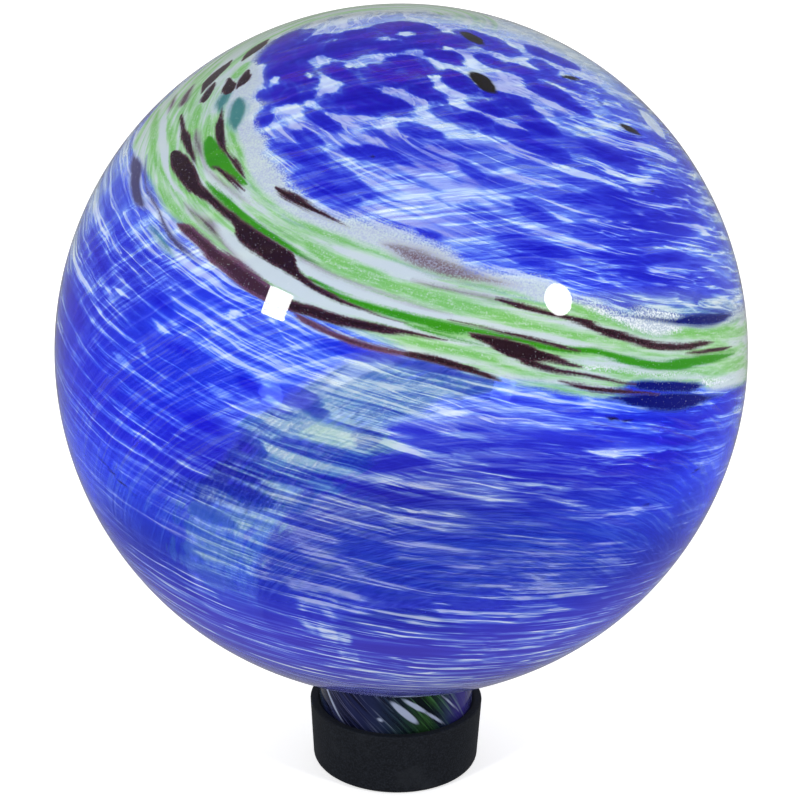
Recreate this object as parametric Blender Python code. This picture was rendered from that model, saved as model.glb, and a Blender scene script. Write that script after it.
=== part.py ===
"""A gazing ball of blown glass: a hollow ball drawn out below into a short open neck, and the rubber cap that
closes the neck and that the ball stands on.

Metres, +Z up. The origin is the middle of the cap's underside, so the ball stands on the plane z = 0.
Both pieces are turned round the Z axis from an outline of (radius, height) points.
"""

import math

import bmesh
import bpy
from mathutils import Vector

# The ball and its wall, which is the same all the way down the neck
BALL_DIAMETER = 0.2540
GLASS_WALL = 0.0026

# The neck tapers a little from the ball down to its fire-polished foot
NECK_FOOT_DIAMETER = 0.0576
NECK_LENGTH = 0.0420
NECK_DRAFT = math.radians(2.2)
NECK_FILLET = 0.0035

# The cap is a cup round the neck, whose wall is measured at its floor and whose outside tapers down
CAP_HEIGHT = 0.0257
CAP_FLOOR = 0.0030
CAP_WALL = 0.0031
CAP_DRAFT = math.radians(2.9)
CAP_BASE_ROUND = 0.0024
CAP_RIM_ROUND = 0.0008
MOST_ROUND_OF_WALL = 0.45

# The clearance between the glass and the rubber all round
SEAT_GAP = 0.0003

# How finely the round forms are cut
STEPS_ROUND = 60
STEPS_UPPER = 17
STEPS_LOWER = 14
STEPS_HOLLOW = 20
STEPS_FILLET = 4
STEPS_LIP = 5
STEPS_EDGE = 3
POLE_MERGE = 0.00001
SHARP_ANGLE = math.radians(40)

GLASS_COLOUR = (0.030, 0.025, 0.560, 1.0)
GLASS_ROUGHNESS = 0.03
GLASS_TRANSMISSION = 0.5
RUBBER_COLOUR = (0.016, 0.017, 0.019, 1.0)
RUBBER_ROUGHNESS = 0.75

# The neck's outer side in the (radius, height) plane: its foot, the way it rises, and its outward normal
NECK_FOOT = Vector((NECK_FOOT_DIAMETER / 2, CAP_FLOOR + SEAT_GAP + GLASS_WALL / 2))
NECK_RISE = Vector((math.sin(NECK_DRAFT), math.cos(NECK_DRAFT)))
NECK_OUTWARD = Vector((math.cos(NECK_DRAFT), -math.sin(NECK_DRAFT)))


def clear_scene():
    for obj in list(bpy.data.objects):
        bpy.data.objects.remove(obj)


def arc(centre, radius, start, end, steps):
    """Points on a circle in the (radius, height) plane, from the angle start to the angle end, both included."""
    turns = (start + (end - start) * i / steps for i in range(steps + 1))
    return [centre + Vector((math.cos(turn), math.sin(turn))) * radius for turn in turns]


def direction(vector):
    return math.atan2(vector.y, vector.x)


def coloured_glass():
    material, shader = plain_material("coloured glass", GLASS_COLOUR, GLASS_ROUGHNESS)
    shader.inputs["Transmission Weight"].default_value = GLASS_TRANSMISSION
    return material


def black_rubber():
    material, shader = plain_material("black rubber", RUBBER_COLOUR, RUBBER_ROUGHNESS)
    return material


def plain_material(name, colour, roughness):
    material = bpy.data.materials.new(name)
    material.use_nodes = True
    material.diffuse_color = colour
    shader = material.node_tree.nodes["Principled BSDF"]
    shader.inputs["Base Color"].default_value = colour
    shader.inputs["Roughness"].default_value = roughness
    shader.inputs["Metallic"].default_value = 0.0
    return material, shader


def turned(name, outline, material):
    """One closed body, spun round the Z axis from an outline whose two ends lie on the axis."""
    form = bmesh.new()
    points = [form.verts.new((point.x, 0.0, point.y)) for point in outline]
    edges = [form.edges.new(pair) for pair in zip(points, points[1:])]
    bmesh.ops.spin(
        form,
        geom=points + edges,
        cent=(0, 0, 0),
        axis=(0, 0, 1),
        angle=math.tau,
        steps=STEPS_ROUND,
        use_merge=True,
    )
    bmesh.ops.remove_doubles(form, verts=form.verts, dist=POLE_MERGE)
    bmesh.ops.recalc_face_normals(form, faces=form.faces)
    mesh = bpy.data.meshes.new(name)
    form.to_mesh(mesh)
    form.free()
    mesh.materials.append(material)
    mesh.shade_smooth()
    mesh.set_sharp_from_angle(angle=SHARP_ANGLE)
    piece = bpy.data.objects.new(name, mesh)
    bpy.context.scene.collection.objects.link(piece)
    return piece


def ball_centre():
    """The centre of the ball in the (radius, height) plane, where the neck has its length below the ball."""
    neck_top = NECK_FOOT.x + NECK_LENGTH * math.tan(NECK_DRAFT)
    half_chord = math.sqrt((BALL_DIAMETER / 2) ** 2 - neck_top**2)
    return Vector((0.0, NECK_FOOT.y + NECK_LENGTH + half_chord))


def fillet_centre(centre):
    """The centre of the fillet that touches both the ball from outside and the neck's outer side."""
    start = NECK_FOOT + NECK_OUTWARD * NECK_FILLET - centre
    along = start.dot(NECK_RISE)
    reach = BALL_DIAMETER / 2 + NECK_FILLET
    climb = -along - math.sqrt(along**2 - start.length_squared + reach**2)
    return centre + start + NECK_RISE * climb


def glass_ball():
    """The ball and neck in one wall: down the outside, round the foot, and up the inside at one wall's distance."""
    ball_radius = BALL_DIAMETER / 2
    centre = ball_centre()
    corner = fillet_centre(centre)
    top, junction = math.pi / 2, direction(corner - centre)
    fillet_start, fillet_end = direction(centre - corner), direction(-NECK_OUTWARD)
    lip_start = direction(NECK_OUTWARD)
    lip_middle = NECK_FOOT - NECK_OUTWARD * GLASS_WALL / 2
    outside = arc(centre, ball_radius, top, 0.0, STEPS_UPPER)
    outside += arc(centre, ball_radius, 0.0, junction, STEPS_LOWER)[1:]
    outside += arc(corner, NECK_FILLET, fillet_start, fillet_end, STEPS_FILLET)[1:]
    lip = arc(lip_middle, GLASS_WALL / 2, lip_start, lip_start - math.pi, STEPS_LIP)
    inside = arc(corner, NECK_FILLET + GLASS_WALL, fillet_end, fillet_start, STEPS_FILLET)
    inside += arc(centre, ball_radius - GLASS_WALL, junction, top, STEPS_HOLLOW)[1:]
    outline = outside + lip + inside
    outline[0].x = outline[-1].x = 0.0
    return turned("glass_ball", outline, coloured_glass())


def neck_cap():
    """The cup: a flat underside, a tapered outer side, a rounded rim, and a well that follows the neck with a gap."""
    depth = CAP_HEIGHT - CAP_FLOOR
    well_foot = NECK_FOOT.x + SEAT_GAP / math.cos(NECK_DRAFT) - (NECK_FOOT.y - CAP_FLOOR) * math.tan(NECK_DRAFT)
    well_top = well_foot + depth * math.tan(NECK_DRAFT)
    base = well_foot + CAP_WALL - CAP_FLOOR * math.tan(CAP_DRAFT)
    top = base + CAP_HEIGHT * math.tan(CAP_DRAFT)
    rim_round = min(CAP_RIM_ROUND, MOST_ROUND_OF_WALL * (top - well_top))
    base_middle = Vector((base - CAP_BASE_ROUND, CAP_BASE_ROUND))
    outer_middle = Vector((top - rim_round, CAP_HEIGHT - rim_round))
    inner_middle = Vector((well_top + rim_round, CAP_HEIGHT - rim_round))
    outline = [Vector((0.0, 0.0))]
    outline += arc(base_middle, CAP_BASE_ROUND, -math.pi / 2, -CAP_DRAFT, STEPS_EDGE)
    outline += arc(outer_middle, rim_round, -CAP_DRAFT, math.pi / 2, STEPS_EDGE)
    outline += arc(inner_middle, rim_round, math.pi / 2, math.pi, STEPS_EDGE)
    outline += [Vector((well_foot, CAP_FLOOR)), Vector((0.0, CAP_FLOOR))]
    return turned("neck_cap", outline, black_rubber())


clear_scene()
glass_ball()
neck_cap()
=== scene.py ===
"""The looks of a gazing ball: a hollow ball of blown glass in swirled colours, and its neck's rubber cap.

Laid out as a Blender add-on and run as a script. Metres, +Z up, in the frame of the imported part, whose
origin is the middle of the cap's underside. An azimuth is 0 at the side that faces the photograph's viewer
(-Y) and grows towards +X; a latitude is 90 degrees at the top of the ball.
"""

import math

import bpy
import numpy as np
from bpy.props import FloatProperty, FloatVectorProperty, PointerProperty
from mathutils import Matrix, Vector


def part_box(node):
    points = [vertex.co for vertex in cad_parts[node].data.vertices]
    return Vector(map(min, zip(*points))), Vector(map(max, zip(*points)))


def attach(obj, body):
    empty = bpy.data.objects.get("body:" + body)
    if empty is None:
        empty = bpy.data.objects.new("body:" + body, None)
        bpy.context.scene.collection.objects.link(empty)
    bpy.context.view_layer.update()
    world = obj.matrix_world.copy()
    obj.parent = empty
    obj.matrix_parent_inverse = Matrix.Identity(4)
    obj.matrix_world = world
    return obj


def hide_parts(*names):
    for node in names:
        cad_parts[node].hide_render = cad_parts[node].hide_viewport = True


bl_info = {
    "name": "Gazing Ball",
    "version": (1, 0, 0),
    "blender": (4, 5, 0),
    "location": "3D View > Sidebar > Gazing Ball",
    "description": "A blown-glass gazing ball with swirled colours, its rubber cap and a plain studio",
    "category": "Object",
}

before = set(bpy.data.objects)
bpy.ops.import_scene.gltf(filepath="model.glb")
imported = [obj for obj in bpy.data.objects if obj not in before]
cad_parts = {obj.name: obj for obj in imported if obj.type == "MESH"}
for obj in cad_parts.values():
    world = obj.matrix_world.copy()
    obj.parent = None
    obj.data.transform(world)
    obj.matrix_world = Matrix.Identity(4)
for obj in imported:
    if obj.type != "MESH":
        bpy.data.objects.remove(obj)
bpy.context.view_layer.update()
GLASS_LOW, GLASS_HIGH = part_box("glass_ball")
CAP_LOW, CAP_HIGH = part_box("neck_cap")
BALL_DIAMETER = GLASS_HIGH.x - GLASS_LOW.x
CAP_DIAMETER = CAP_HIGH.x - CAP_LOW.x
MM = 0.001

# The way of the green and brown band round the ball: azimuth and latitude in degrees, from beside the top of
# the ball, over its back and down across its front, round behind and on to the neck
BAND_WAY = (
    (70, 80), (120, 79), (190, 80), (240, 73), (266, 64), (285, 53), (303, 43.5), (321, 37), (340, 32),
    (360, 27.5), (380, 23), (400, 17.5), (420, 11.5), (440, 6), (460, 0), (480, -6), (500, -13), (520, -21),
    (540, -29), (560, -37), (580, -45), (602, -52), (630, -59), (665, -65), (700, -70), (735, -74),
    (760, -77),
)
STEPS_BAND_LEG = 36
BAND_REACH = 40 * MM
BAND_MIDDLE = 1.5 * MM

# The band's borders: millimetres along it and across it
BAND_UPPER = (
    (0, 12), (60, 14), (98, 11), (110, 13), (120, 18), (130, 19), (150, 20), (160, 21), (170, 23.5),
    (180, 24.5), (190, 24), (197, 22.5), (205, 20.5), (215, 19.5), (225, 18.5), (235, 17.5), (245, 18),
    (262, 18.6), (270, 18.2), (280, 17), (290, 16), (312, 15), (324, 14), (344, 12.8), (352, 11.4),
    (362, 10), (372, 8), (382, 8), (394, 10), (420, 10.4), (440, 12), (520, 12), (600, 9), (700, 12),
    (800, 14), (950, 9),
)
BAND_LOWER = (
    (0, -12), (60, -14), (110, -18), (130, -27), (142, -31), (150, -26), (155, -23), (160, -20),
    (165, -16.5), (170, -14), (176, -12.3), (190, -10.5), (198, -9), (206, -9), (215, -10), (228, -11),
    (240, -12), (250, -11), (262, -10.5), (274, -11.2), (284, -12), (290, -13.2), (300, -13.8), (310, -15),
    (320, -15.8), (335, -15.5), (352, -15.6), (362, -14), (370, -11), (402, -11), (410, -13.4), (420, -14),
    (450, -14), (520, -14), (600, -10), (700, -13), (800, -16), (950, -9),
)
POWDER_UPPER = (
    (0, 14), (60, 16), (98, 11), (110, 14), (116, 16), (121, 22), (125, 26), (132, 29), (140, 31),
    (150, 30), (160, 34), (168, 31), (180, 31), (187, 32), (193, 33), (199, 29.5), (212, 29), (218, 28.5),
    (224, 26), (232, 25), (241, 23.5), (250, 24), (257, 25.8), (272, 26.4), (282, 25.4), (291, 24.6),
    (297, 22.8), (304, 19.5), (314, 19.8), (328, 20), (336, 17), (343, 15), (350, 14.8), (357, 13),
    (363, 12.6), (370, 14.6), (382, 15.2), (389, 13.8), (398, 12), (420, 12), (440, 14), (520, 14),
    (600, 16), (700, 20), (800, 18), (950, 11),
)

# In millimetres: the band's length, where its trails begin and end, and where it becomes thin by THINS_BY
BAND_LENGTH = 950.0
TRAIL_START, TRAIL_END = 96.0, 476.0
BAND_THINS, THINS_WITHIN, THINS_BY = 470.0, 80, 0.7

# Between its trails a lane's half width sinks below 0, within a short way of a trail's end, in millimetres. A
# curve's full height stands for HALF_RANGE millimetres of half width, or for ACROSS_RANGE across the band
SUNK, GAP_SLOPE, TRAIL_GAP = 3.0, 2.0, 5
HALF_RANGE = 12.0
ACROSS_RANGE = 100.0

# Trails of coloured glass on the front of the band: millimetres along it, across it, and half their width
UMBER_TRAILS = (
    ((165, -1.2, 0), (167, -0.6, 2.2), (170, 0.4, 3), (175, 1.8, 3.8), (180, 2.7, 3.7), (185, 3.2, 3.1),
     (190, 3.4, 2.5), (195, 4.6, 1.8), (200, 5.5, 1.5), (207, 5.9, 1.6), (215, 5.9, 1.8), (218, 5, 2.6),
     (222, 4.3, 3.2), (230, 3.9, 3.4), (236, 3.6, 3.6), (241, 3.2, 3.4), (244, 1.6, 2.2), (247, 0.6, 1.6),
     (252, -0.6, 1.2), (258, -1.5, 1.1), (264, -2.2, 0.8), (272, -2.5, 0.4), (286, -3, 0)),
    ((245, -9.4, 0), (248, -9.5, 1.8), (255, -8.7, 1.9), (262, -8.4, 1.8), (270, -7.7, 1.7),
     (276, -7.1, 1.6), (281, -6.6, 1.2), (286, -6, 0.8), (294, -5.6, 0.4), (300, -5.4, 0)),
    ((286, -12.9, 0), (290, -12.5, 1.1), (296, -12.4, 1.3), (302, -12.8, 1.4), (306, -13.3, 1.4),
     (311, -14, 1.1), (316, -14.8, 0.7), (320, -15.3, 0)),
    ((305, -1.6, 0), (308, -2.3, 1.1), (312, -2.8, 1.7), (316, -3.6, 2.4), (320, -4.4, 3), (325, -5.1, 3.1),
     (329, -5.3, 2.4), (333, -5.4, 1.6), (338, -5.9, 1.1), (343, -6.5, 0.6), (347, -6.8, 0)),
    ((322, -7, 0), (327, -7.9, 1.2), (332, -8.5, 1.2), (338, -9.1, 0.9), (346, -9.3, 0.7), (354, -9.9, 0.6),
     (362, -10.5, 0.5), (370, -10.6, 0)),
    ((297, 1, 0), (302, 1.1, 0.5), (312, 0.7, 0.5), (322, 0.1, 0.6), (332, -0.7, 0.6), (340, -1.7, 0.5),
     (346, -2.2, 0)),
    ((312, 10.8, 0), (318, 10.3, 0.9), (325, 9.5, 1.1), (333, 8.9, 1.1), (341, 8.3, 1.2), (346, 7.7, 1.3),
     (351, 6.4, 1.4), (356, 5.5, 1.5), (361, 4.7, 1.5), (367, 3.7, 1.4), (374, 2.9, 1.3), (382, 2.6, 1.3),
     (390, 2.7, 1.3), (396, 3, 1.3), (402, 3.8, 1.1), (408, 4.3, 0.7), (414, 4.5, 0)),
    ((392, 0.1, 0), (398, 0.7, 0.5), (406, 1.2, 0.7), (412, 1.7, 0.8), (418, 1.8, 0.7), (424, 1.8, 0.4),
     (430, 1.8, 0)),
    ((338, -12.5, 0), (344, -12.9, 0.7), (350, -13.4, 0.9), (357, -13.5, 0.9), (365, -13.3, 0.8),
     (373, -13.3, 0.6), (382, -13.2, 0)),
    ((152, 18, 0), (157, 18.3, 0.7), (161, 18.3, 1.2), (165, 18.2, 1.9), (170, 18.4, 1.9), (175, 18.5, 1.6),
     (180, 18.5, 1.2), (185, 18.7, 0.8), (189, 19.1, 0.7), (193, 19.4, 1), (198, 19.2, 1), (202, 18.8, 0.6),
     (205, 18.5, 0)),
    ((146, -1.8, 0), (150, -0.4, 1.1), (154, 1.2, 1.1), (158, 2.6, 1.5), (162, 4, 2), (166, 5.3, 1.8),
     (170, 6.2, 1.6), (174, 7, 1.2), (178, 7.3, 0.6), (181, 7.3, 0)),
    ((186, 12.4, 0), (190, 13.4, 0.8), (194, 14.2, 1.1), (198, 14.8, 1.1), (202, 15.2, 0.9),
     (206, 15.2, 0.6), (210, 15.2, 0)),
    ((129, 12.4, 0), (132, 14, 1.5), (135, 15.8, 2.5), (138, 16.7, 3), (141, 17.4, 2.7), (144, 17.6, 0)),
    ((124, 19.2, 0), (127, 20.1, 1.6), (130, 21.2, 2.3), (133, 21.6, 2.5), (136, 21.7, 2.2),
     (139, 21.2, 1.2), (142, 21, 0)),
    ((131, 6.4, 0), (134, 7, 1.3), (137, 7.2, 1.9), (140, 7.4, 2.1), (143, 7.4, 1.7), (145, 7.5, 0)),
    ((116, 2.4, 0), (119, 2.9, 1.6), (122, 3, 2.8), (125, 2.6, 3.3), (128, 2.4, 3.4), (131, 2.3, 3),
     (134, 2.8, 1.4), (138, 3.3, 0)),
    ((101, 7.2, 0), (104, 8, 1.6), (107, 8.7, 2.9), (110, 9.1, 3.3), (113, 9.2, 2.6), (116, 9.8, 1.6),
     (119, 10.3, 0)),
    ((218, 22.6, 0), (221, 22.6, 0.9), (225, 22.6, 1.4), (230, 22.8, 1.7), (235, 22.6, 1.6),
     (240, 22.4, 1.2), (246, 22.2, 0.9), (252, 21.9, 0.5), (257, 21.7, 0)),
)
RUSSET_TRAILS = (
    ((195, -8.7, 0), (198, -8, 1.4), (201, -7.3, 2.1), (206, -7, 2.2), (211, -6.9, 2.5), (216, -7.4, 2.7),
     (221, -7.2, 2.9), (226, -7.5, 3.3), (231, -8.1, 3.4), (237, -8.8, 3.1), (243, -9.3, 2.7),
     (249, -9.5, 1.6), (254, -9, 0)),
    ((250, -11.4, 0), (255, -12, 1.2), (262, -12.8, 1.2), (270, -13.4, 1.4), (278, -13.3, 1.2),
     (286, -12.9, 1), (292, -12.5, 0)),
)
DUSK_TRAILS = (
    ((151, -25.2, 0), (155, -23.3, 1.8), (159, -21.2, 3.4), (163, -19.6, 3.9), (168, -19.6, 3.2),
     (172, -19.1, 3), (176, -18.1, 2.4), (179, -17, 1.2), (182, -16.6, 0)),
    ((158, -14.9, 0), (164, -14.8, 1), (170, -14.5, 1.2), (175, -13.7, 1.4), (180, -13, 1.4),
     (185, -12.4, 1.2), (192, -13, 1.6), (200, -13.2, 1.7), (208, -12.6, 1), (214, -12.4, 0)),
)
SMOKE_TRAILS = (
    ((191, -2.9, 0), (196, -2.3, 1), (200, -1.7, 1.4), (204, -1.1, 1.8), (207, -0.9, 2), (211, -1.4, 1.5),
     (215, -2.1, 1), (221, -3.3, 0.8), (229, -4.5, 0.6), (236, -5.2, 0)),
    ((159, 8.1, 0), (162, 8.8, 1.1), (165, 9, 1.8), (169, 9.4, 1.9), (173, 9.7, 1.7), (177, 9.9, 1.1),
     (184, 10, 0.6), (190, 10.8, 0.8), (196, 11.8, 0.9), (202, 12.5, 0.9), (208, 12.8, 0.7), (216, 12.9, 0)),
    ((128, -8, 0), (130, -7.3, 1.6), (134, -6.3, 2.7), (138, -5.2, 3), (140, -4.9, 2.4), (142, -4.8, 0)),
    ((130, -16.6, 0), (133, -15.2, 1.6), (136, -13, 2.1), (139, -11.9, 1.5), (142, -11.4, 0)),
    ((283, 11.2, 0), (290, 11.1, 0.8), (300, 11, 0.9), (310, 10.8, 0.9), (318, 10.4, 0)),
    ((243, 6, 0), (247, 6, 1), (254, 5.3, 0.8), (264, 4.8, 0.6), (278, 4.2, 0.6), (292, 3.4, 0.4),
     (300, 3, 0)),
)
HAZE_TRAILS = (
    ((268, 20.2, 0), (274, 19.8, 2.6), (280, 19.2, 3.8), (286, 18.5, 4.4), (292, 17.8, 4.4),
     (298, 17.1, 3.9), (304, 16.6, 3.2), (310, 16.4, 2.5), (316, 16.4, 1.6), (322, 16.2, 0)),
)
LEAF_TRAILS = (
    ((168, 13.8, 0), (171, 13.8, 2), (175, 14, 2.9), (180, 14.3, 3.6), (185, 14.7, 3.9), (190, 15.8, 3.2),
     (195, 16.5, 2.3), (200, 17, 1.8), (204, 17.2, 1.4), (208, 17.5, 0)),
    ((190, 7.6, 0), (194, 7.9, 0.9), (198, 8.3, 1.2), (203, 8.6, 1.4), (209, 8.8, 1.6), (216, 8.7, 1.5),
     (224, 8.7, 1.5), (231, 8.5, 1.3), (237, 7.9, 1.2), (243, 7.1, 1), (250, 6.4, 0.6), (257, 6, 0)),
    ((249, 1.5, 0), (253, 0.9, 0.9), (258, 0, 1), (264, -0.7, 1.2), (272, -1, 1.3), (281, -1.1, 1.5),
     (290, -1.2, 1.7), (298, -1.4, 2), (304, -1, 1.6), (311, -0.7, 1.2), (318, -0.8, 1.1), (326, -1.5, 1.2),
     (334, -2.2, 1.2), (342, -2, 1.3), (350, -1.3, 1.3), (356, -1.9, 1.4), (363, -2.8, 1.7),
     (371, -3.8, 1.9), (379, -4.1, 1.7), (386, -3.5, 1.9), (393, -2.8, 2.1), (401, -1.9, 2.1),
     (409, -1.3, 1.9), (416, -0.9, 1.5), (424, -0.7, 0.9), (434, -0.6, 0)),
    ((284, -3.4, 0), (290, -3.7, 0.7), (298, -4.2, 0.8), (306, -4.7, 0.5), (312, -5, 0)),
)
MINT_TRAILS = (
    ((142, -10.5, 0), (147, -7.8, 2), (152, -5.4, 2.4), (158, -3.2, 2.6), (164, -1.6, 2.4),
     (170, -2.8, 2.1), (178, -1.9, 2), (186, -0.4, 2.1), (194, 1.3, 2.2), (202, 2.9, 1.9), (210, 3.5, 1.6),
     (216, 3.4, 1.2), (221, 3.2, 0)),
    ((134, -23, 0), (140, -19.5, 2.6), (147, -15.8, 3.1), (154, -13, 2.9), (160, -11.2, 2.4),
     (166, -9.2, 2.2), (173, -6.2, 2.1), (181, -4.3, 1.7), (189, -3.4, 1.5), (196, -4, 0)),
    ((174, -9.6, 0), (180, -8.4, 2), (187, -7.4, 2.4), (194, -6.2, 2.4), (200, -4.9, 1.7), (208, -3.9, 1.2),
     (216, -3.8, 0.8), (222, -4, 0)),
    ((143, 6.5, 0), (147, 6.4, 2.4), (153, 6.6, 3.4), (159, 6.8, 3.5), (164, 7.2, 2.2), (168, 7.6, 0)),
    ((153, 13.4, 0), (158, 13.4, 2.2), (164, 13.3, 2.8), (170, 13.2, 3), (178, 12.6, 2.4), (186, 12.4, 1.2),
     (192, 12, 0)),
    ((160, 20.6, 0), (167, 21.4, 1.8), (174, 22.3, 2.2), (182, 22.4, 2.3), (190, 22.3, 2.2),
     (196, 21.4, 1.6), (204, 19.6, 1.4), (212, 18.2, 1.8), (222, 17.4, 1.5), (230, 16.8, 1),
     (238, 16.4, 1.6), (246, 16.3, 2.1), (254, 16.6, 2.1), (262, 16.6, 1.8), (272, 16.4, 1.5),
     (284, 15.3, 1.2), (296, 14.6, 1.4), (306, 14.2, 1.6), (316, 13.8, 1.2), (326, 13, 0)),
    ((232, 12.6, 0), (240, 12.2, 1.4), (248, 10.2, 2.8), (256, 9, 3.4), (264, 8.8, 3.6), (272, 8.3, 3.5),
     (280, 7.2, 2.8), (288, 7.3, 3.2), (296, 6.6, 3.4), (304, 6.2, 3.3), (312, 5.8, 3.2), (320, 4.9, 3),
     (328, 4, 2.2), (336, 3.3, 2.2), (344, 2.9, 2.1), (352, 3.2, 1.6), (360, 1.9, 1.4), (368, 0.4, 1.4),
     (378, -0.6, 1.4), (388, -0.4, 1.2), (396, 0, 0)),
    ((335, 13, 0), (341, 12.2, 2.2), (348, 10.8, 2.4), (356, 9.2, 2), (364, 7.4, 1.6), (372, 6, 1.2),
     (380, 5.6, 1.1), (388, 7, 2.2), (396, 7.8, 2.6), (404, 7.6, 2.4), (414, 7.8, 2.4), (424, 8, 2.2),
     (436, 7.2, 1.8), (448, 6.5, 1.2), (458, 6, 0)),
    ((282, -8.2, 0), (288, -8.4, 2), (296, -8.2, 2.4), (304, -8.2, 2.4), (312, -8.6, 2.2),
     (320, -10.4, 1.8), (330, -11.6, 1.6), (340, -10.9, 1.2), (348, -10, 0)),
    ((350, -6.2, 0), (357, -7.4, 1.8), (365, -7.9, 2.1), (373, -8, 1.6), (382, -7, 1.4), (392, -6, 1.6),
     (402, -5.6, 1.8), (412, -6.4, 2), (424, -5.4, 1.8), (436, -4.2, 2), (450, -3.2, 1.2), (460, -3, 0)),
    ((322, -15.6, 0), (332, -14.8, 1.2), (342, -15, 1.4), (352, -15.2, 1.4), (362, -14.9, 1),
     (368, -14.8, 0)),
    ((118, 15, 0), (122, 15.2, 2.8), (127, 15.4, 3.4), (131, 16, 1.8), (133, 16.5, 0)),
    ((126, -3.5, 0), (131, -1.8, 2), (137, -0.2, 2.4), (143, 1.2, 2), (149, 2.4, 1.4), (154, 3, 0)),
)
TEAL_TRAILS = (
    ((140, 17.5, 0), (143, 17.3, 3), (147, 17, 3.4), (151, 17, 2.6), (155, 17.6, 1.2), (158, 18, 0)),
    ((147, 23.5, 0), (151, 24.2, 3), (155, 24.8, 4), (160, 25, 4.4), (165, 24.6, 4), (170, 24.4, 2.8),
     (174, 24, 1.2), (177, 24, 0)),
    ((186, -17.8, 0), (190, -17.2, 1.8), (196, -16.8, 2), (201, -16.9, 1.4), (205, -17, 0)),
)
NAVY_TRAILS = (
    ((364, -10.8, 0), (368, -10.8, 0.8), (373, -10.8, 1.8), (380, -10.8, 2), (390, -10.7, 2.3),
     (398, -10.7, 2), (403, -10.5, 1), (408, -10.4, 0)),
    ((356, -16.6, 0), (364, -15.8, 1.4), (370, -16.2, 2.4), (380, -16.1, 3), (390, -15.8, 3.2),
     (400, -15.2, 2.6), (406, -14.9, 1.7), (414, -14.4, 0.8), (424, -14.2, 0)),
    ((362, 11.5, 0), (370, 11.4, 0.7), (380, 11.3, 0.9), (388, 11.2, 1.2), (394, 11.8, 1.8), (400, 12, 2.3),
     (410, 12.2, 2.5), (420, 12.4, 2.1), (427, 12.8, 1), (434, 13, 0)),
)
PEARL_TRAILS = (
    ((344, 13.2, 0), (352, 12.2, 1.6), (360, 10.6, 2), (368, 9.2, 2.6), (376, 8.6, 2.8), (384, 8.6, 2.2),
     (392, 9, 0)),
    ((362, 13.2, 0), (368, 13.2, 1.2), (376, 13.4, 1.8), (383, 13.6, 1.8), (390, 13, 0)),
    ((346, -6.6, 0), (353, -6.2, 1.4), (360, -6, 1), (370, -6.6, 0.8), (380, -7, 1.2), (390, -6.2, 1),
     (400, -5.8, 0.8), (406, -9, 1.8), (412, -9.6, 2.2), (420, -9.4, 1.6), (430, -9, 1), (444, -8.4, 0)),
)
OPAL_TRAILS = (
    ((207, 0.6, 0), (212, 0.6, 1.2), (218, -0.8, 1.9), (224, -1.6, 2.3), (231, -2.2, 2.6), (239, -2.9, 2.7),
     (247, -3.6, 2.5), (255, -4.3, 2), (263, -4.4, 1.6), (272, -4.2, 1.4), (281, -4.2, 1.2),
     (290, -4.9, 0.8), (300, -5.6, 0.6), (308, -6, 0)),
    ((243, 3.6, 0), (247, 3.7, 1.4), (252, 3.1, 1.8), (258, 2.7, 2), (266, 2.5, 1.9), (275, 2.2, 1.8),
     (284, 2, 1.6), (293, 1.8, 1.2), (302, 2.2, 0.9), (312, 2.2, 0.9), (322, 1.6, 0.7), (332, 1.4, 0.9),
     (342, 0.5, 0.9), (350, 0.2, 0)),
    ((141, -13.5, 0), (147, -11, 1.8), (154, -8.4, 1.8), (161, -6.1, 1.8), (168, -4.8, 1.4),
     (176, -4.1, 0.9), (184, -2.6, 0.6), (192, -1, 0)),
    ((253, 13.4, 0), (260, 13.4, 1.2), (268, 13.3, 1.2), (276, 13.5, 1.4), (284, 12.9, 1.2),
     (292, 12.6, 0.8), (300, 12.4, 0)),
)

# How many streaks the ball has round it for each radian, and how long a streak is in metres
STREAKS_WIDE = 3.8
STREAK_LENGTH = 0.060

# How much steeper the streaks are at one side, and at which azimuth
STEEPER, STEEPEST_AT = 0.5, 75.0

# Soft spots where the blue is deeper, or paler: azimuth, latitude, reach in degrees, amount
DEEPER_SPOTS = (
    (-20, 72, 16, 0.6), (12, 48, 12, -0.9), (45, 28, 14, 0.9), (62, 40, 16, 1), (50, 52, 10, 0.3),
    (-60, 10, 18, 1), (-38, 2, 14, 1), (-30, 22, 10, 0.3), (8, 6, 14, 0.2), (45, 0, 16, 0.8),
    (55, -18, 16, 0.6), (28, -22, 12, -0.6), (5, -28, 12, 0.3), (-14, -26, 12, -0.3), (-45, -30, 16, 0.6),
    (120, 40, 24, 0.5), (170, 30, 20, -0.2), (-140, 40, 24, 0.5), (130, -10, 24, 0.6), (-170, -5, 20, 0.2),
    (-120, 0, 24, 0.6), (165, -42, 26, -0.8), (120, -48, 22, -0.7), (-14, 8, 9, -0.8), (-28, -6, 9, -1.2),
    (-36, -17, 7, -1), (46, -15, 9, 0.7), (44, -2, 8, 0.6), (-54, -18, 10, 0.6),
)
VIOLET_SPOTS = (
    (-55, 70, 14, 1), (-20, 80, 16, 0.9), (10, 68, 12, 0.5), (50, 66, 14, 0.5), (55, -20, 18, 0.3),
    (-70, 20, 16, 0.4), (0, -35, 20, 0.5), (-60, -20, 20, 0.6), (46, -3, 10, 0.7), (47, -15, 9, 0.5),
)

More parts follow.
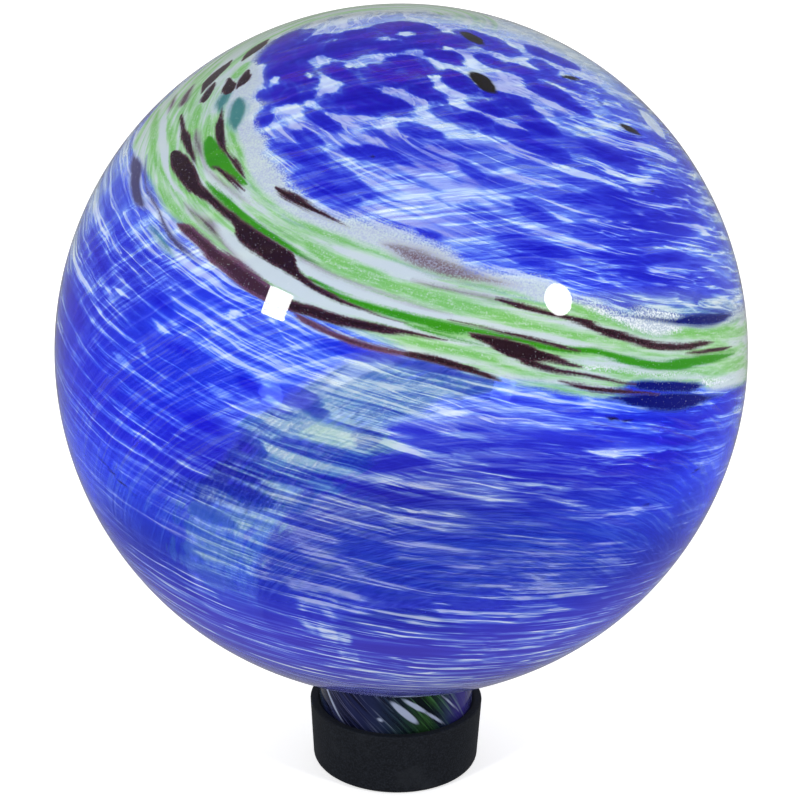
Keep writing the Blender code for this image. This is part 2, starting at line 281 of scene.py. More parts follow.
# Chips of blue glass, drawn out by the swirl, on the side in the photograph: azimuth and latitude of one end,
# then of the other, in degrees, and half their width in millimetres
DEEP_CHIPS = (
    (-71, 65, -81, 73, 8), (-70, 67, -53, 72, 8), (-58, 66, -37, 65, 6), (-60, 64, -51, 62, 1.5),
    (-48, 60, -34, 62, 5.5), (-43, 56, -40, 55, 3.5), (-67, 74, -56, 76, 3.5), (-49, 74, -31, 73, 5),
    (-51, 78, -32, 79, 5), (-28, 75, -3, 77, 4.5), (-30, 82, 22, 83, 7), (5, 78, 45, 77, 6),
    (17, 75, 28, 72, 4.5), (-7, 72, 11, 70, 6), (-18, 69, 7, 67, 5.5), (-35, 69, -19, 67, 4.5),
    (-22, 64, -12, 65, 4.5), (-25, 62, -1, 61, 5.5), (-27, 62, -19, 60, 3), (-1, 67, 13, 63, 3),
    (-30, 59, -17, 56, 2), (-30, 55, -21, 53, 2.5), (-33, 51, -19, 51, 3.5), (-14, 53, 0, 51, 3),
    (-24, 47, -10, 44, 4.5), (-23, 50, -13, 48, 3), (-17, 50, -7, 45, 2.5), (-2, 58, 9, 56, 3),
    (10, 61, 24, 57, 4), (17, 69, 24, 65, 4.5), (29, 63, 40, 60, 3.5), (23, 62, 33, 58, 2.5),
    (36, 58, 41, 53, 5.5), (26, 56, 41, 49, 4), (40, 72, 46, 68, 3.5), (48, 68, 55, 65, 4),
    (48, 64, 57, 57, 5), (58, 65, 66, 59, 3.5), (55, 58, 59, 54, 3), (63, 67, 66, 64, 4),
    (76, 66, 81, 62, 4), (74, 69, 78, 67, 4), (56, 79, 61, 71, 6), (43, 52, 59, 43, 4),
    (28, 45, 51, 37, 3.5), (24, 43, 31, 39, 3), (19, 38, 33, 33, 3), (20, 35, 28, 32, 1.5),
    (33, 37, 40, 35, 2), (48, 31, 61, 27, 3), (39, 30, 44, 29, 1.5), (40, 28, 52, 23, 3),
    (54, 20, 66, 15, 1.5), (13, 50, 18, 48, 2), (3, 40, 7, 39, 1.5), (-10, 1, 12, -2, 3),
    (12, -2, 25, -6, 3), (22, -6, 42, -13, 3.5), (42, -13, 63, -23, 4.5), (-9, -8, 0, -11, 3.5),
    (-8, -17, 5, -20, 4.5), (-38, 9, -25, 6, 5), (-33, 4, -23, 4, 2.5), (-20, 15, -12, 13.5, 3),
    (-17, 13, -11, 12, 2.2), (-44, 18, -35, 17, 2.5), (-73, 26, -57, 22, 3.5), (-57, 21, -45, 20, 2.5),
    (-79, 16, -60, 13, 6), (-55, -4, -48, -8, 3.5), (18, 9, 62, -3, 3), (15, 5, 32, 1, 2.5),
    (45, -3, 56, -6, 3), (36, 11, 54, 6, 2), (22, 15, 30, 12, 2), (9, -11, 19, -13, 2),
    (28, -23, 39, -27, 3.5), (7, -19, 17, -22, 3), (-25, -21, -16, -22, 3.5), (-50, -13, -34, -17, 5.5),
    (-32, -25, -17, -27, 4), (-10, -30, 12, -33, 4.5), (44, -19, 54, -23, 4.5), (-16, 23, 9, 18, 2),
    (-26, 6, -21, 5, 4.5), (-28, -1, -20, -3, 4.5), (-34, -7, -26, -8, 3.5), (0, 9, 10, 7, 2),
    (10, 7, 18, 3, 2.5), (6, -1, 18, -5, 3), (-53, 20, -41, 17, 2.5), (-47, 24, -41, 23, 3),
    (-41, 18, -33, 17, 3), (-26, 16, -22, 14, 3.5), (-14, 22, -2, 21, 3), (-1, 21, 10, 19, 2.5),
    (-55, 9, -46, 5, 2), (-40, 9, -26, 6, 3.5),
)
THIN_CHIPS = (
    (-11, 57, -3, 55, 1.5), (-4, 55, 10, 51, 3), (-22, 58, -14, 56, 2), (-14, 47, -1, 45, 3),
    (-10, 43, 1, 40, 2), (3, 54, 22, 49, 2.5), (13, 59, 25, 54, 2), (11, 54, 36, 46, 3),
    (36, 46, 53, 38, 3), (17, 48, 29, 44, 2.5), (8, 44, 19, 41, 2), (9, 38, 20, 35, 1.5),
    (47, 56, 66, 45, 4.5), (50, 50, 66, 40, 3.5), (53, 38, 68, 29, 5), (40, 37, 59, 30, 2.5),
    (67, 41, 78, 33, 8), (33, 33, 45, 28, 2.5), (28, 31, 39, 26, 2), (70, 60, 76, 48, 7),
    (66, 45, 78, 36, 6), (54, 33, 74, 24, 3.5), (59, 26, 71, 17, 5.5), (-5, 49, 6, 47, 1.5),
    (13, 41, 23, 39, 1.5), (-45, 55, -27, 50, 1.5), (32, 48, 47, 42, 2.5),
)

# Where the glass is bare, and small dark chips, in the same way
BARE_PLACES = (
    (-24, -15, -24, -17, 1.5), (-23, -16, -23, -18, 1.5), (-21, -14, -22, -18, 1.5),
    (-17, -17, -17, -19, 1.8), (-15, -17, -15, -21, 2.2), (-14, -17, -14, -20, 1.5),
    (-11, -18, -10, -18, 1.8), (-11, -20, -10, -21, 1.8), (-13, -26, -13, -29, 1.5),
    (-12, -27, -11, -29, 1.8), (-9, -28, -9, -31, 1.5), (-16, -26, -15, -28, 1.1),
    (-10, -33, -10, -35, 1.5), (-8, -34, -8, -36, 1.1), (-16, -21, -16, -24, 1.1),
    (-12, -22, -11, -24, 1.5), (-8, -21, -6, -22, 1.5), (2, -24, 5, -25, 1.8), (9, 45, 15, 46, 3),
    (-2, 45, 7, 44, 1.5), (5, 54, 16, 51, 1.5), (22, 49, 27, 47, 2), (23, 40, 29, 38, 1.5),
    (35, 39, 48, 36, 1.5), (29, 44, 37, 39, 1), (45, 45, 59, 36, 1), (60, 36, 70, 34, 1.5),
    (11, 68, 14, 68, 2.5), (15, 65, 22, 63, 2), (12, 67, 16, 65, 1.5), (-29, 70, -24, 70, 2),
    (-31, 64, -24, 64, 2.5), (-42, 67, -36, 66, 1.5), (-15, 66, -1, 64, 1), (-20, 59, -15, 58, 2),
    (-15, 59, -8, 59, 1), (-15, 56, -5, 54, 1.5), (-53, 63, -49, 63, 2), (-39, 58, -32, 59, 3),
    (5, 61, 9, 59, 1.5), (-4, 81, 6, 81, 2), (23, 76, 34, 74, 1.5), (34, 73, 33, 70, 3.5),
    (42, 69, 41, 65, 2), (37, 65, 47, 63, 2), (46, 61, 53, 55, 2.2), (28, 51, 46, 44, 1),
    (53, 44, 81, 33, 1), (85, 47, 84, 45, 7.5), (67, 46, 78, 40, 2.5), (0, 2, 6, 1, 1.5),
    (-2, 3, 0, 3, 1.5), (-1, -4, 3, -5, 2), (6, -5, 12, -6, 1), (4, -8, 10, -10, 1), (13, -12, 18, -13, 1),
    (16, -18, 24, -22, 1.5), (21, -16, 26, -19, 1.5), (24, -20, 30, -22, 1.5), (-15, -10, -10, -12, 3),
    (-10, -12, -7, -13, 1.5), (3, -23, 7, -25, 2), (-16, -19, -13, -20, 4), (-9, -18, -6, -19, 2),
    (-12, -27, -11, -30, 2.5), (32, 3, 44, 1, 1), (12, 7, 17, 6, 1), (6, 12, 17, 10, 1),
    (14, 3, 22, 0, 0.5), (25, -4, 41, -8, 0.5), (41, -8, 56, -13, 1), (34, -15, 50, -22, 1),
    (12, 14, 25, 10, 0.5), (33, 11, 40, 8, 0.5), (40, 8, 72, -1, 1), (-51, 13, -47, 12, 2),
    (-44, 20, -40, 19, 1), (-24, 17, -18, 16, 1.5), (-30, 13, -26, 12, 1.5), (-25, 12, -21, 11, 1),
    (-18, 22, -14, 21, 1), (-30, 24, -27, 25, 2), (-34, 22, -30, 22, 1), (-44, 26, -41, 26, 1),
    (-37, -1, -34, -1, 2), (-28, 1, -25, 1, 1), (-22, 25, -20, 24, 1), (-15, 10, -10, 9, 1.8),
    (-9, 8, -4, 6, 1.8), (0, 15, 6, 14, 1.5), (-18, 22, -10, 21, 1), (-3, 19, 12, 16, 1),
    (-6, 17, 2, 16, 2), (-25, 17, -18, 16, 2), (-26, 12, -21, 11, 1), (-26, 9, -19, 7, 1),
    (-16, 12, -12, 10, 1.8), (-12, 10, -6, 8, 1.5), (-4, 3, 2, 1, 2), (-12, 4, -5, 3, 1),
    (4, 14, 10, 12, 2.5), (-32, -4, -21, -6, 0.5), (-26, 2, -16, -1, 0.5), (-28, 1, -18, -2, 0.5),
    (-36, 0, -33, -1, 1.5), (-15, -9, -7, -13, 1), (-17, -7, -13, -8, 1), (-9, -12, -7, -14, 1),
    (-16, -17, -6, -19, 1), (6, 4, 18, 2, 1), (-57, 22, -52, 22, 1), (-44, 20, -40, 19, 1.5),
    (-46, 16, -44, 15, 1), (-52, 13, -48, 12, 2), (-30, 13, -27, 12, 1.5), (-23, 13, -21, 11, 1),
    (-47, 5, -45, 4, 1), (-42, -2, -39, -2, 1), (-35, -1, -32, -1, 1), (15, 2, 21, 0, 1), (25, 5, 43, 1, 1),
    (39, -5, 60, -12, 0.5), (40, -8, 54, -13, 1), (39, -15, 52, -21, 1), (26, -12, 49, -22, 0.5),
    (29, -10, 39, -15, 0.5),
)
DARK_CHIPS = (
    (29, 68, 32, 64, 3.5), (66, 62.5, 73, 60, 1.4), (66, 50.5, 71, 48, 2.2), (69, 48, 72, 47, 0.8),
    (-63, 60, -66, 62, 3), (-84, 64, -89, 67, 4.5), (34, 8, 39, 7, 0.5), (33, 9, 35, 8, 1.1),
    (41, -8, 43, -8.5, 1.3), (59, 39, 60, 39, 1), (8, 15, 10, 15, 1), (-54, -6.5, -47, -8.5, 0.9),
    (56, 79, 53, 75, 3), (-8, 52, -7, 52, 1), (126, 84, 119, 83, 3.5), (53, -6, 56, -6, 0.7),
)

# Patches of the band behind the ball, which show through its front, in the same way
BEHIND_NAVY = (
    (-122, -40, -148, -49, 5), (-126, -41, -143, -48, 4.5), (-170, -37, -173, -39, 4),
    (-132, -39, -142, -43, 3),
)
BEHIND_TEAL = (
    (-146, -39, -169, -43, 6), (-140, -39, -153, -45, 4), (-146, -37, -162, -42, 3),
    (-151, -44, -162, -48, 2.2), (-165, -30, 177, -32, 6), (-174, -27, 174, -29, 2.5),
    (176, -28, 160, -27, 4), (-145, -33, -157, -34, 4),
)
BEHIND_OLIVE = (
    (-158, -36, -176, -40, 5), (-158, -35, -168, -38, 3), (-117, -43, -134, -51, 3),
    (-111, -45, -120, -55, 4), (-104, -48, -116, -54, 4), (-97, -48, -102, -57, 4),
    (-155, -33, -161, -35, 2),
)

# Chips like these on the rest of the ball: seed, number, lowest and highest latitude in degrees, and longest
# and widest half in millimetres
DEEP_ELSEWHERE = (5, 210, 12, 85, 26, 6.0)
LOW_DEEP_ELSEWHERE = (6, 70, -60, 12, 45, 4.0)
THIN_ELSEWHERE = (7, 105, 5, 80, 30, 5.0)
BARE_ELSEWHERE = (8, 120, -60, 75, 18, 2.4)

# The depth in chips of a place that is far from them all, in millimetres
FAR_OUTSIDE = -20.0

# White petals on the neck: azimuth in degrees and height in millimetres of one end, then of the other, and
# half width
NECK_PETALS = (
    (-2, 38.5, 15, 30, 1.4), (6, 40, 22, 34, 0.9), (22, 34, 37, 27, 0.6), (-70, 40, -46, 27, 0.6),
    (36, 39, 50, 31, 0.3), (-13, 31.5, -10, 30.5, 0.6), (80, 42, 100, 28, 1.2), (120, 40, 138, 30, 1.6),
    (150, 42, 160, 34, 0.8), (-100, 40, -84, 28, 1), (-130, 41, -118, 33, 1.5), (-160, 38, -146, 27, 0.8),
)
# Where the neck is green, and where violet: azimuth and reach in degrees
NECK_GREEN = ((24, 26), (140, 40), (-110, 30))
NECK_VIOLET = ((58, 16), (-170, 30), (100, 14))
NECK_RADIUS = 30

# Heights in millimetres: where the ball's colours begin outside and inside, and where the cap hides the neck
NECK_TOP, LINING_TOP, CAP_HIDES = 45.5, 47.5, 25.0

# Where the looks change: heights in metres from which and up to which they do, and y for front and back
TOP_OF_BALL = (0.262, 0.282)
BELOW_MIDDLE = (0.172, 0.148)
LOW_IN_FRONT = (0.138, 0.102)
LOW_BEHIND = (0.118, 0.082)
FOOT_OF_BALL = (0.094, 0.064)
FRONT = (0.03, -0.03)

# How far the blown surface is uneven, and how the glass bends light
RIPPLE = 0.00006
GLASS_IOR = 1.33

# The cap: the roundings at its base and rim, its floor, and the well's radius at the rim and at the floor
CAP_BASE_ROUND, CAP_RIM_ROUND, CAP_FLOOR = 2.4 * MM, 0.8 * MM, 3 * MM
WELL_RIM, WELL_FOOT = 29.9 * MM, 29.04 * MM

# The camera's lens and sensor in millimetres, the picture's width in pixels, and how far the ball's middle is
# right of and above the picture's
LENS, SENSOR, PICTURE = 123.9, 36.0, 800
MIDDLE_RIGHT, MIDDLE_UP = 1.2, 48.9

# The bright side of the surroundings, how far the dim side reaches towards it, and its share of their
# brightness
BRIGHT_SIDE = (0.0, 0.8, 0.5)
DIM_TO_BRIGHT = (-0.7, 0.6)
BRIGHT_SHARE = 0.85

# The softboxes: shape, azimuth and elevation in degrees, size in metres, and share of the power
SOFTBOX_DISTANCE = 2.0
SOFTBOXES = (
    ("softbox_left", "SQUARE", -45.2, 29.2, 0.28, 1.1),
    ("softbox_right", "DISK", 57.6, 27.8, 0.315, 1.0),
)

# The ball's materials, in the order of its list
SWIRLED, BANDED, CLEAR, NECK = range(4)

# How finely the round forms are cut
STEPS_ROUND = 384
STEPS_OUTSIDE = 182
STEPS_HOLLOW = 20
STEPS_FILLET = 4
STEPS_LIP = 6
STEPS_NECK = 26
STEPS_IN_CAP = 5
STEPS_BORE = 2
STEPS_CAP_SIDE, STEPS_CAP_WELL, STEPS_CAP_FLAT = 40, 10, 12
STEPS_BASE_ROUND, STEPS_RIM_ROUND = 6, 5


def arc(centre, radius, start, end, steps):
    """Points on a circle in the (radius, height) plane: the centre plus the radius times the cosine and sine
    of turns evenly spaced from start to end."""
    turns = np.linspace(start, end, steps + 1)
    return np.asarray(centre) + radius * np.stack([np.cos(turns), np.sin(turns)], axis=1)


def between(start, end, steps):
    """Points evenly spaced on a straight line, both ends left out."""
    return np.linspace(start, end, steps + 1)[1:-1]


def direction(vector):
    return math.atan2(vector[1], vector[0])


def turned_mesh(name, outline):
    """A closed surface: the point at outline step i and turn a is (r sin a, -r cos a, z), where r and z are
    the outline's radius and height there. The outline's first and last points are on the axis."""
    radius, height = outline[1:-1].T[..., None]
    turn = np.linspace(0, math.tau, STEPS_ROUND, endpoint=False)
    rings = np.stack([radius * np.sin(turn), -radius * np.cos(turn), height + 0 * turn], axis=-1)
    points = np.concatenate([[(0, 0, outline[0, 1])], rings.reshape(-1, 3), [(0, 0, outline[-1, 1])]])
    here = 1 + np.arange(rings.shape[0] * STEPS_ROUND).reshape(-1, STEPS_ROUND)
    beside = np.roll(here, -1, axis=1)
    quads = np.stack([here[:-1], here[1:], beside[1:], beside[:-1]], axis=-1).reshape(-1, 4)
    first = np.stack([0 * here[0], here[0], beside[0]], axis=-1)
    last = np.stack([here[-1], 0 * here[-1] + len(points) - 1, beside[-1]], axis=-1)
    mesh = bpy.data.meshes.new(name)
    mesh.from_pydata(points.tolist(), [], first.tolist() + quads.tolist() + last.tolist())
    mesh.shade_smooth()
    return mesh


def spread(values):
    """One value for each vertex of a turned mesh, from an array of one value for each outline step, in which
    the poles have their own step and every other step goes round its ring."""
    rings = np.repeat(values[1:-1], STEPS_ROUND, axis=0)
    return np.concatenate([values[:1], rings, values[-1:]])


def point_attribute(mesh, name, values):
    """Three numbers for each vertex, or one."""
    kind, field = ("FLOAT_VECTOR", "vector") if values.ndim == 2 else ("FLOAT", "value")
    attribute = mesh.attributes.new(name, kind, "POINT")
    attribute.data.foreach_set(field, np.ascontiguousarray(values, np.float32).ravel())


def add_piece(name, mesh, node, materials):
    """A finished piece at the origin, which replaces a CAD node and rides on the part's one body."""
    piece = bpy.data.objects.new(name, mesh)
    bpy.context.scene.collection.objects.link(piece)
    for material in materials:
        mesh.materials.append(material)
    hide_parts(node)
    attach(piece, "root")
    return piece


class Nodes:
    """Adds shader nodes to a material or to the surroundings and joins them. A value is a number, a colour or
    another node's output."""

    def __init__(self, owner):
        owner.use_nodes = True
        self.nodes = owner.node_tree.nodes
        self.links = owner.node_tree.links

    def put(self, socket, value):
        if isinstance(value, bpy.types.NodeSocket):
            self.links.new(value, socket)
        elif socket.type == "RGBA" and len(value) == 3:
            socket.default_value = (*value, 1.0)
        else:
            socket.default_value = value

    def add(self, kind, output=0, **values):
        """A node of the kind: a value named as one of its inputs is put there, others are set as
        properties."""
        node = self.nodes.new("ShaderNode" + kind)
        for name, value in values.items():
            title = name.replace("_", " ").title()
            if title in node.inputs:
                self.put(node.inputs[title], value)
            else:
                setattr(node, name, value)
        return node.outputs[output]

    def math(self, operation, *values, clamp=False):
        node = self.nodes.new("ShaderNodeMath")
        node.operation, node.use_clamp = operation, clamp
        for socket, value in zip(node.inputs, values):
            self.put(socket, value)
        return node.outputs[0]

    def times(self, value, other):
        return self.math("MULTIPLY", value, other)

    def plus(self, value, other):
        return self.math("ADD", value, other)

    def less(self, value, other):
        return self.math("SUBTRACT", value, other)

    def most(self, value, other):
        return self.math("MAXIMUM", value, other)

    def scaled(self, value, factor, added, clamp=False):
        """The value times the factor, plus what is added."""
        return self.math("MULTIPLY_ADD", value, factor, added, clamp=clamp)

    def faded(self, value, amount, share):
        """The value, of which a share is lost where the amount is 1."""
        return self.times(value, self.scaled(amount, -share, 1.0))

    def vector(self, operation, *values):
        node = self.nodes.new("ShaderNodeVectorMath")
        node.operation = operation
        for socket, value in zip(node.inputs, values):
            self.put(socket, value)
        return node.outputs[0]

    def mix(self, factor, low, high):
        """The colour low where the factor is 0 and high where it is 1."""
        node = self.nodes.new("ShaderNodeMix")
        node.data_type = "RGBA"
        for socket, value in zip((node.inputs[0], node.inputs[6], node.inputs[7]), (factor, low, high)):
            self.put(socket, value)
        return node.outputs[2]

    def blend(self, factor, low, high):
        """The number low where the factor is 0 and high where it is 1."""
        node = self.nodes.new("ShaderNodeMix")
        for socket, value in zip((node.inputs[0], node.inputs[2], node.inputs[3]), (factor, low, high)):
            self.put(socket, value)
        return node.outputs[0]

    def step(self, value, low, high, before=0.0, after=1.0):
        """One number below low and another above high, smooth between; the other way round where low is above
        high."""
        node = self.nodes.new("ShaderNodeMapRange")
        node.interpolation_type = "SMOOTHSTEP"
        for socket, number in zip(node.inputs, (value, low, high, before, after)):
            self.put(socket, number)
        return node.outputs[0]

    def ramp(self, factor, stops):
        node = self.nodes.new("ShaderNodeValToRGB")
        elements = node.color_ramp.elements
        while len(elements) < len(stops):
            elements.new(0.5)
        for element, (position, colour) in zip(elements, stops):
            element.position = position
            element.color = (*colour, 1.0)
        self.put(node.inputs[0], factor)
        return node.outputs[0]

    def curve(self, value, points, handle="AUTO_CLAMPED"):
        """A number read off a smooth curve through (value, number) points, all of them from 0 to 1."""
        node = self.nodes.new("ShaderNodeFloatCurve")
        line = node.mapping.curves[0]
        while len(line.points) < len(points):
            line.points.new(0.5, 0.5)
        for spot, place in zip(line.points, points):
            spot.location = place
            spot.handle_type = handle
        node.mapping.update()
        self.put(node.inputs["Value"], value)
        return node.outputs[0]

    def noise(self, vector, scale, detail, roughness=0.5, output=0):
        return self.add("TexNoise", output, vector=vector, scale=scale, detail=detail, roughness=roughness)

    def streaks(self, vector, stretch, detail, roughness=0.5):
        """Noise on coordinates that are multiplied, each by its own number, first."""
        return self.noise(self.vector("MULTIPLY", vector, stretch), 1.0, detail, roughness)

    def place(self):
        """The place on the piece, in metres."""
        return self.add("TexCoord", 3)

    def attribute(self, name):
        """Three numbers that the mesh has for each vertex."""
        return self.add("Attribute", 1, attribute_name=name)

    def split(self, vector):
        """The three numbers of a vector."""
        return self.add("SeparateXYZ", vector=vector).node.outputs[:]


class Shading(Nodes):
    """The nodes of one new material, on a shader that starts with plain values."""

    def __init__(self, name, **plain):
        self.material = bpy.data.materials.new(name)
        super().__init__(self.material)
        self.finish(**plain)

    def finish(self, **values):
        shader = self.nodes["Principled BSDF"]
        for name, value in values.items():
            self.put(shader.inputs[name.replace("_", " ").title().replace("Ior", "IOR")], value)


class GlassBallSettings(bpy.types.PropertyGroup):
    diameter: FloatProperty(
        name="Diameter", description="Across the ball", default=BALL_DIAMETER, subtype="DISTANCE",
        unit="LENGTH")
    top: FloatProperty(
        name="Top", description="Height of the top of the ball", default=GLASS_HIGH.z, subtype="DISTANCE",
        unit="LENGTH")
    wall: FloatProperty(
        name="Wall", description="Thickness of the glass", default=2.6 * MM, subtype="DISTANCE",
        unit="LENGTH")
    foot_diameter: FloatProperty(
        name="Neck Foot", description="Across the foot of the neck", default=57.6 * MM, subtype="DISTANCE",
        unit="LENGTH")
    foot_height: FloatProperty(
        name="Foot Height", description="Height of the middle of the rounded foot", default=4.6 * MM,
        subtype="DISTANCE", unit="LENGTH")
    neck_draft: FloatProperty(
        name="Neck Draft", description="How much the neck widens upwards", default=math.radians(2.2),
        subtype="ANGLE", unit="ROTATION")
    fillet: FloatProperty(
        name="Fillet", description="Radius between the neck and the ball", default=3.5 * MM,
        subtype="DISTANCE", unit="LENGTH")
    clear: FloatVectorProperty(
        name="Clear Glass", description="Where the chips leave the glass bare", default=(0.84, 0.94, 0.96),
        subtype="COLOR", min=0, max=1)
    azure: FloatVectorProperty(
        name="Azure", description="Thin blue", default=(0.13, 0.24, 0.80), subtype="COLOR", min=0, max=1)
    cobalt: FloatVectorProperty(
        name="Cobalt", description="Thick blue", default=(0.0026, 0.0006, 0.42), subtype="COLOR", min=0,
        max=1)
    violet: FloatVectorProperty(
        name="Violet", description="The thickest blue", default=(0.008, 0.0004, 0.28), subtype="COLOR",
        min=0, max=1)
    opal: FloatVectorProperty(
        name="Opal", description="White chips", default=(0.55, 0.64, 0.68), subtype="COLOR", min=0, max=1)
    mint: FloatVectorProperty(
        name="Mint", description="Pale green chips", default=(0.30, 0.60, 0.26), subtype="COLOR", min=0,
        max=1)
    leaf: FloatVectorProperty(
        name="Leaf", description="Bright green chips", default=(0.030, 0.26, 0.006), subtype="COLOR", min=0,
        max=1)
    umber: FloatVectorProperty(
        name="Umber", description="Dark brown chips", default=(0.018, 0.0055, 0.010), subtype="COLOR",
        min=0, max=1)


class NeckCapSettings(bpy.types.PropertyGroup):
    height: FloatProperty(
        name="Height", description="From the underside to the rim", default=CAP_HIGH.z, subtype="DISTANCE",
        unit="LENGTH")
    rim_diameter: FloatProperty(
        name="Rim", description="Across the outside of the rim", default=CAP_DIAMETER, subtype="DISTANCE",
        unit="LENGTH")
    draft: FloatProperty(
        name="Draft", description="How much the outside widens upwards", default=math.radians(2.9),
        subtype="ANGLE", unit="ROTATION")
    rubber: FloatVectorProperty(
        name="Rubber", description="Colour of the rubber", default=(0.009, 0.0112, 0.0165), subtype="COLOR",
        min=0, max=1)


class StudioSettings(bpy.types.PropertyGroup):
    distance: FloatProperty(
        name="Camera Distance", description="From the middle of the ball", default=1.016,
        subtype="DISTANCE", unit="LENGTH")
    elevation: FloatProperty(
        name="Camera Elevation", description="How far the camera looks down", default=math.radians(21.85),
        subtype="ANGLE", unit="ROTATION")
    roll: FloatProperty(
        name="Camera Roll", description="How far the camera leans", default=math.radians(0.85),
        subtype="ANGLE", unit="ROTATION")
    floor: FloatProperty(
        name="Floor", description="Across the floor", default=24.0, subtype="DISTANCE", unit="LENGTH")
    floor_colour: FloatVectorProperty(
        name="Floor Colour", description="Near-white paper", default=(0.93, 0.93, 0.93), subtype="COLOR",
        min=0, max=1)
    sky: FloatProperty(name="Surround", description="Brightness of the white surroundings", default=1.0)
    gloss: FloatProperty(
        name="Gloss", description="Share of the surroundings' brightness that shows in the gloss",
        default=0.4)
    dim: FloatProperty(name="Dim Side", description="Brightness on the viewer's side", default=0.15)
    softbox: FloatProperty(name="Softboxes", description="Power of each softbox in watts", default=12.0)


def ball_centre(sizes):
    return np.array([0.0, sizes.top - sizes.diameter / 2])


def glass_outline(sizes):
    """The glass's outline: down the outside of the ball and neck, round the foot, and up the inside one
    wall's thickness away. The fillet touches the ball from outside and the neck's side."""
    ball, wall, fillet = sizes.diameter / 2, sizes.wall, sizes.fillet
    centre = ball_centre(sizes)
    outward = np.array([math.cos(sizes.neck_draft), -math.sin(sizes.neck_draft)])
    rise = np.array([math.sin(sizes.neck_draft), math.cos(sizes.neck_draft)])
    foot = np.array([sizes.foot_diameter / 2, sizes.foot_height])
    start = foot + outward * fillet - centre
    along = start @ rise
    corner = centre + start - rise * (along + math.sqrt(along**2 - start @ start + (ball + fillet) ** 2))
    top, junction = math.pi / 2, direction(corner - centre)
    fillet_start, fillet_end, lip = direction(centre - corner), direction(-outward), direction(outward)
    outside = arc(centre, ball, top, junction, STEPS_OUTSIDE)
    neck_top = arc(corner, fillet, fillet_start, fillet_end, STEPS_FILLET)
    foot_round = arc(foot - outward * wall / 2, wall / 2, lip, lip - math.pi, STEPS_LIP)
    bore_top = arc(corner, fillet + wall, fillet_end, fillet_start, STEPS_FILLET)
    hollow = arc(centre, ball - wall, junction, top, STEPS_HOLLOW)
    down = foot_round[0] - neck_top[-1]
    rim = neck_top[-1] + down * (CAP_HIDES * MM - neck_top[-1][1]) / down[1]
    outline = np.concatenate([
        outside, neck_top[1:], between(neck_top[-1], rim, STEPS_NECK), [rim],
        between(rim, foot_round[0], STEPS_IN_CAP), foot_round,
        between(foot_round[-1], bore_top[0], STEPS_BORE), bore_top, hollow[1:],
    ])
    outline[0, 0] = outline[-1, 0] = 0.0
    first_inside = len(outline) - len(hollow) - len(bore_top)
    return outline, first_inside


def swirl(sizes, outline):
    """Coordinates that follow the swirl: (w cos c, w sin c, t), one for each vertex. A streak of glass has
    one c, which is its azimuth less the turn that the swirl has made from the top down to there; t grows
    slowly along it, and w is how many streaks there are to a radian. On the ball the swirl turns by 1 / s
    radians for each radian of latitude, where s = 0.13 + 0.22 ((1 + sin latitude) / 2)^1.5 + 0.5 (sin
    latitude)^12 above the middle, so it is steep near the top and nearly level below. That slope is 1 + 0.5
    cos (azimuth - 75 degrees) times as great round the ball, so it is steeper on the right. On the neck it
    comes down at 45 degrees."""
    ball = sizes.diameter / 2
    radius, height = outline.T
    sine = np.clip((height - ball_centre(sizes)[1]) / ball, -1, 1)
    slope = swirl_slope(sine)
    on_neck = np.clip((-sine - 0.965) / 0.02, 0, 1)
    turn_rate = (1 - on_neck) / (ball * slope) + on_neck / np.maximum(radius, 0.02)
    length_rate = (1 - on_neck) / (STREAK_LENGTH * slope) + on_neck * 1.4 / (0.5 * STREAK_LENGTH)
    steps = np.linalg.norm(np.diff(outline, axis=0), axis=1)

    def total(rate):
        return np.concatenate([[0], np.cumsum(steps * (rate[1:] + rate[:-1]) / 2)])

    width = STREAKS_WIDE * np.minimum(1, radius / (ball * math.cos(math.radians(55))))
    azimuth = np.concatenate([[0], np.tile(np.linspace(0, math.tau, STEPS_ROUND, endpoint=False),
                                           len(outline) - 2), [0]])
    turn = azimuth + STEEPER * np.sin(azimuth - math.radians(STEEPEST_AT)) - spread(total(turn_rate))
    width = spread(width)
    return np.stack([width * np.cos(turn), width * np.sin(turn), spread(total(length_rate))], axis=-1)


def unit_points(azimuth, latitude):
    azimuth, latitude = np.radians(azimuth), np.radians(latitude)
    level = np.cos(latitude)
    return np.stack([level * np.sin(azimuth), -level * np.cos(azimuth), np.sin(latitude)], axis=-1)


def smooth_way(places, steps):
    """A curve through the places that leaves each one in the direction from the place before it to the one
    after: on each leg, half of 2 b + (c - a) t + (2 a - 5 b + 4 c - d) t^2 + (3 b - a - 3 c + d) t^3."""
    places = np.asarray(places, float)
    places = np.concatenate([[2 * places[0] - places[1]], places, [2 * places[-1] - places[-2]]])
    a, b, c, d = (places[i:len(places) - 3 + i, None] for i in range(4))
    t = np.linspace(0, 1, steps, endpoint=False)[:, None]
    legs = (2 * b + (c - a) * t + (2 * a - 5 * b + 4 * c - d) * t**2 + (3 * b - a - 3 * c + d) * t**3) / 2
    return np.concatenate([legs.reshape(-1, 2), places[-2:-1]])


def on_unit_ball(sizes, points):
    """Where the points are as seen from the ball's middle, on a ball of radius 1 about the origin."""
    points = points - [0, 0, ball_centre(sizes)[1]]
    return points / np.maximum(np.linalg.norm(points, axis=1), sizes.diameter / 4)[:, None]


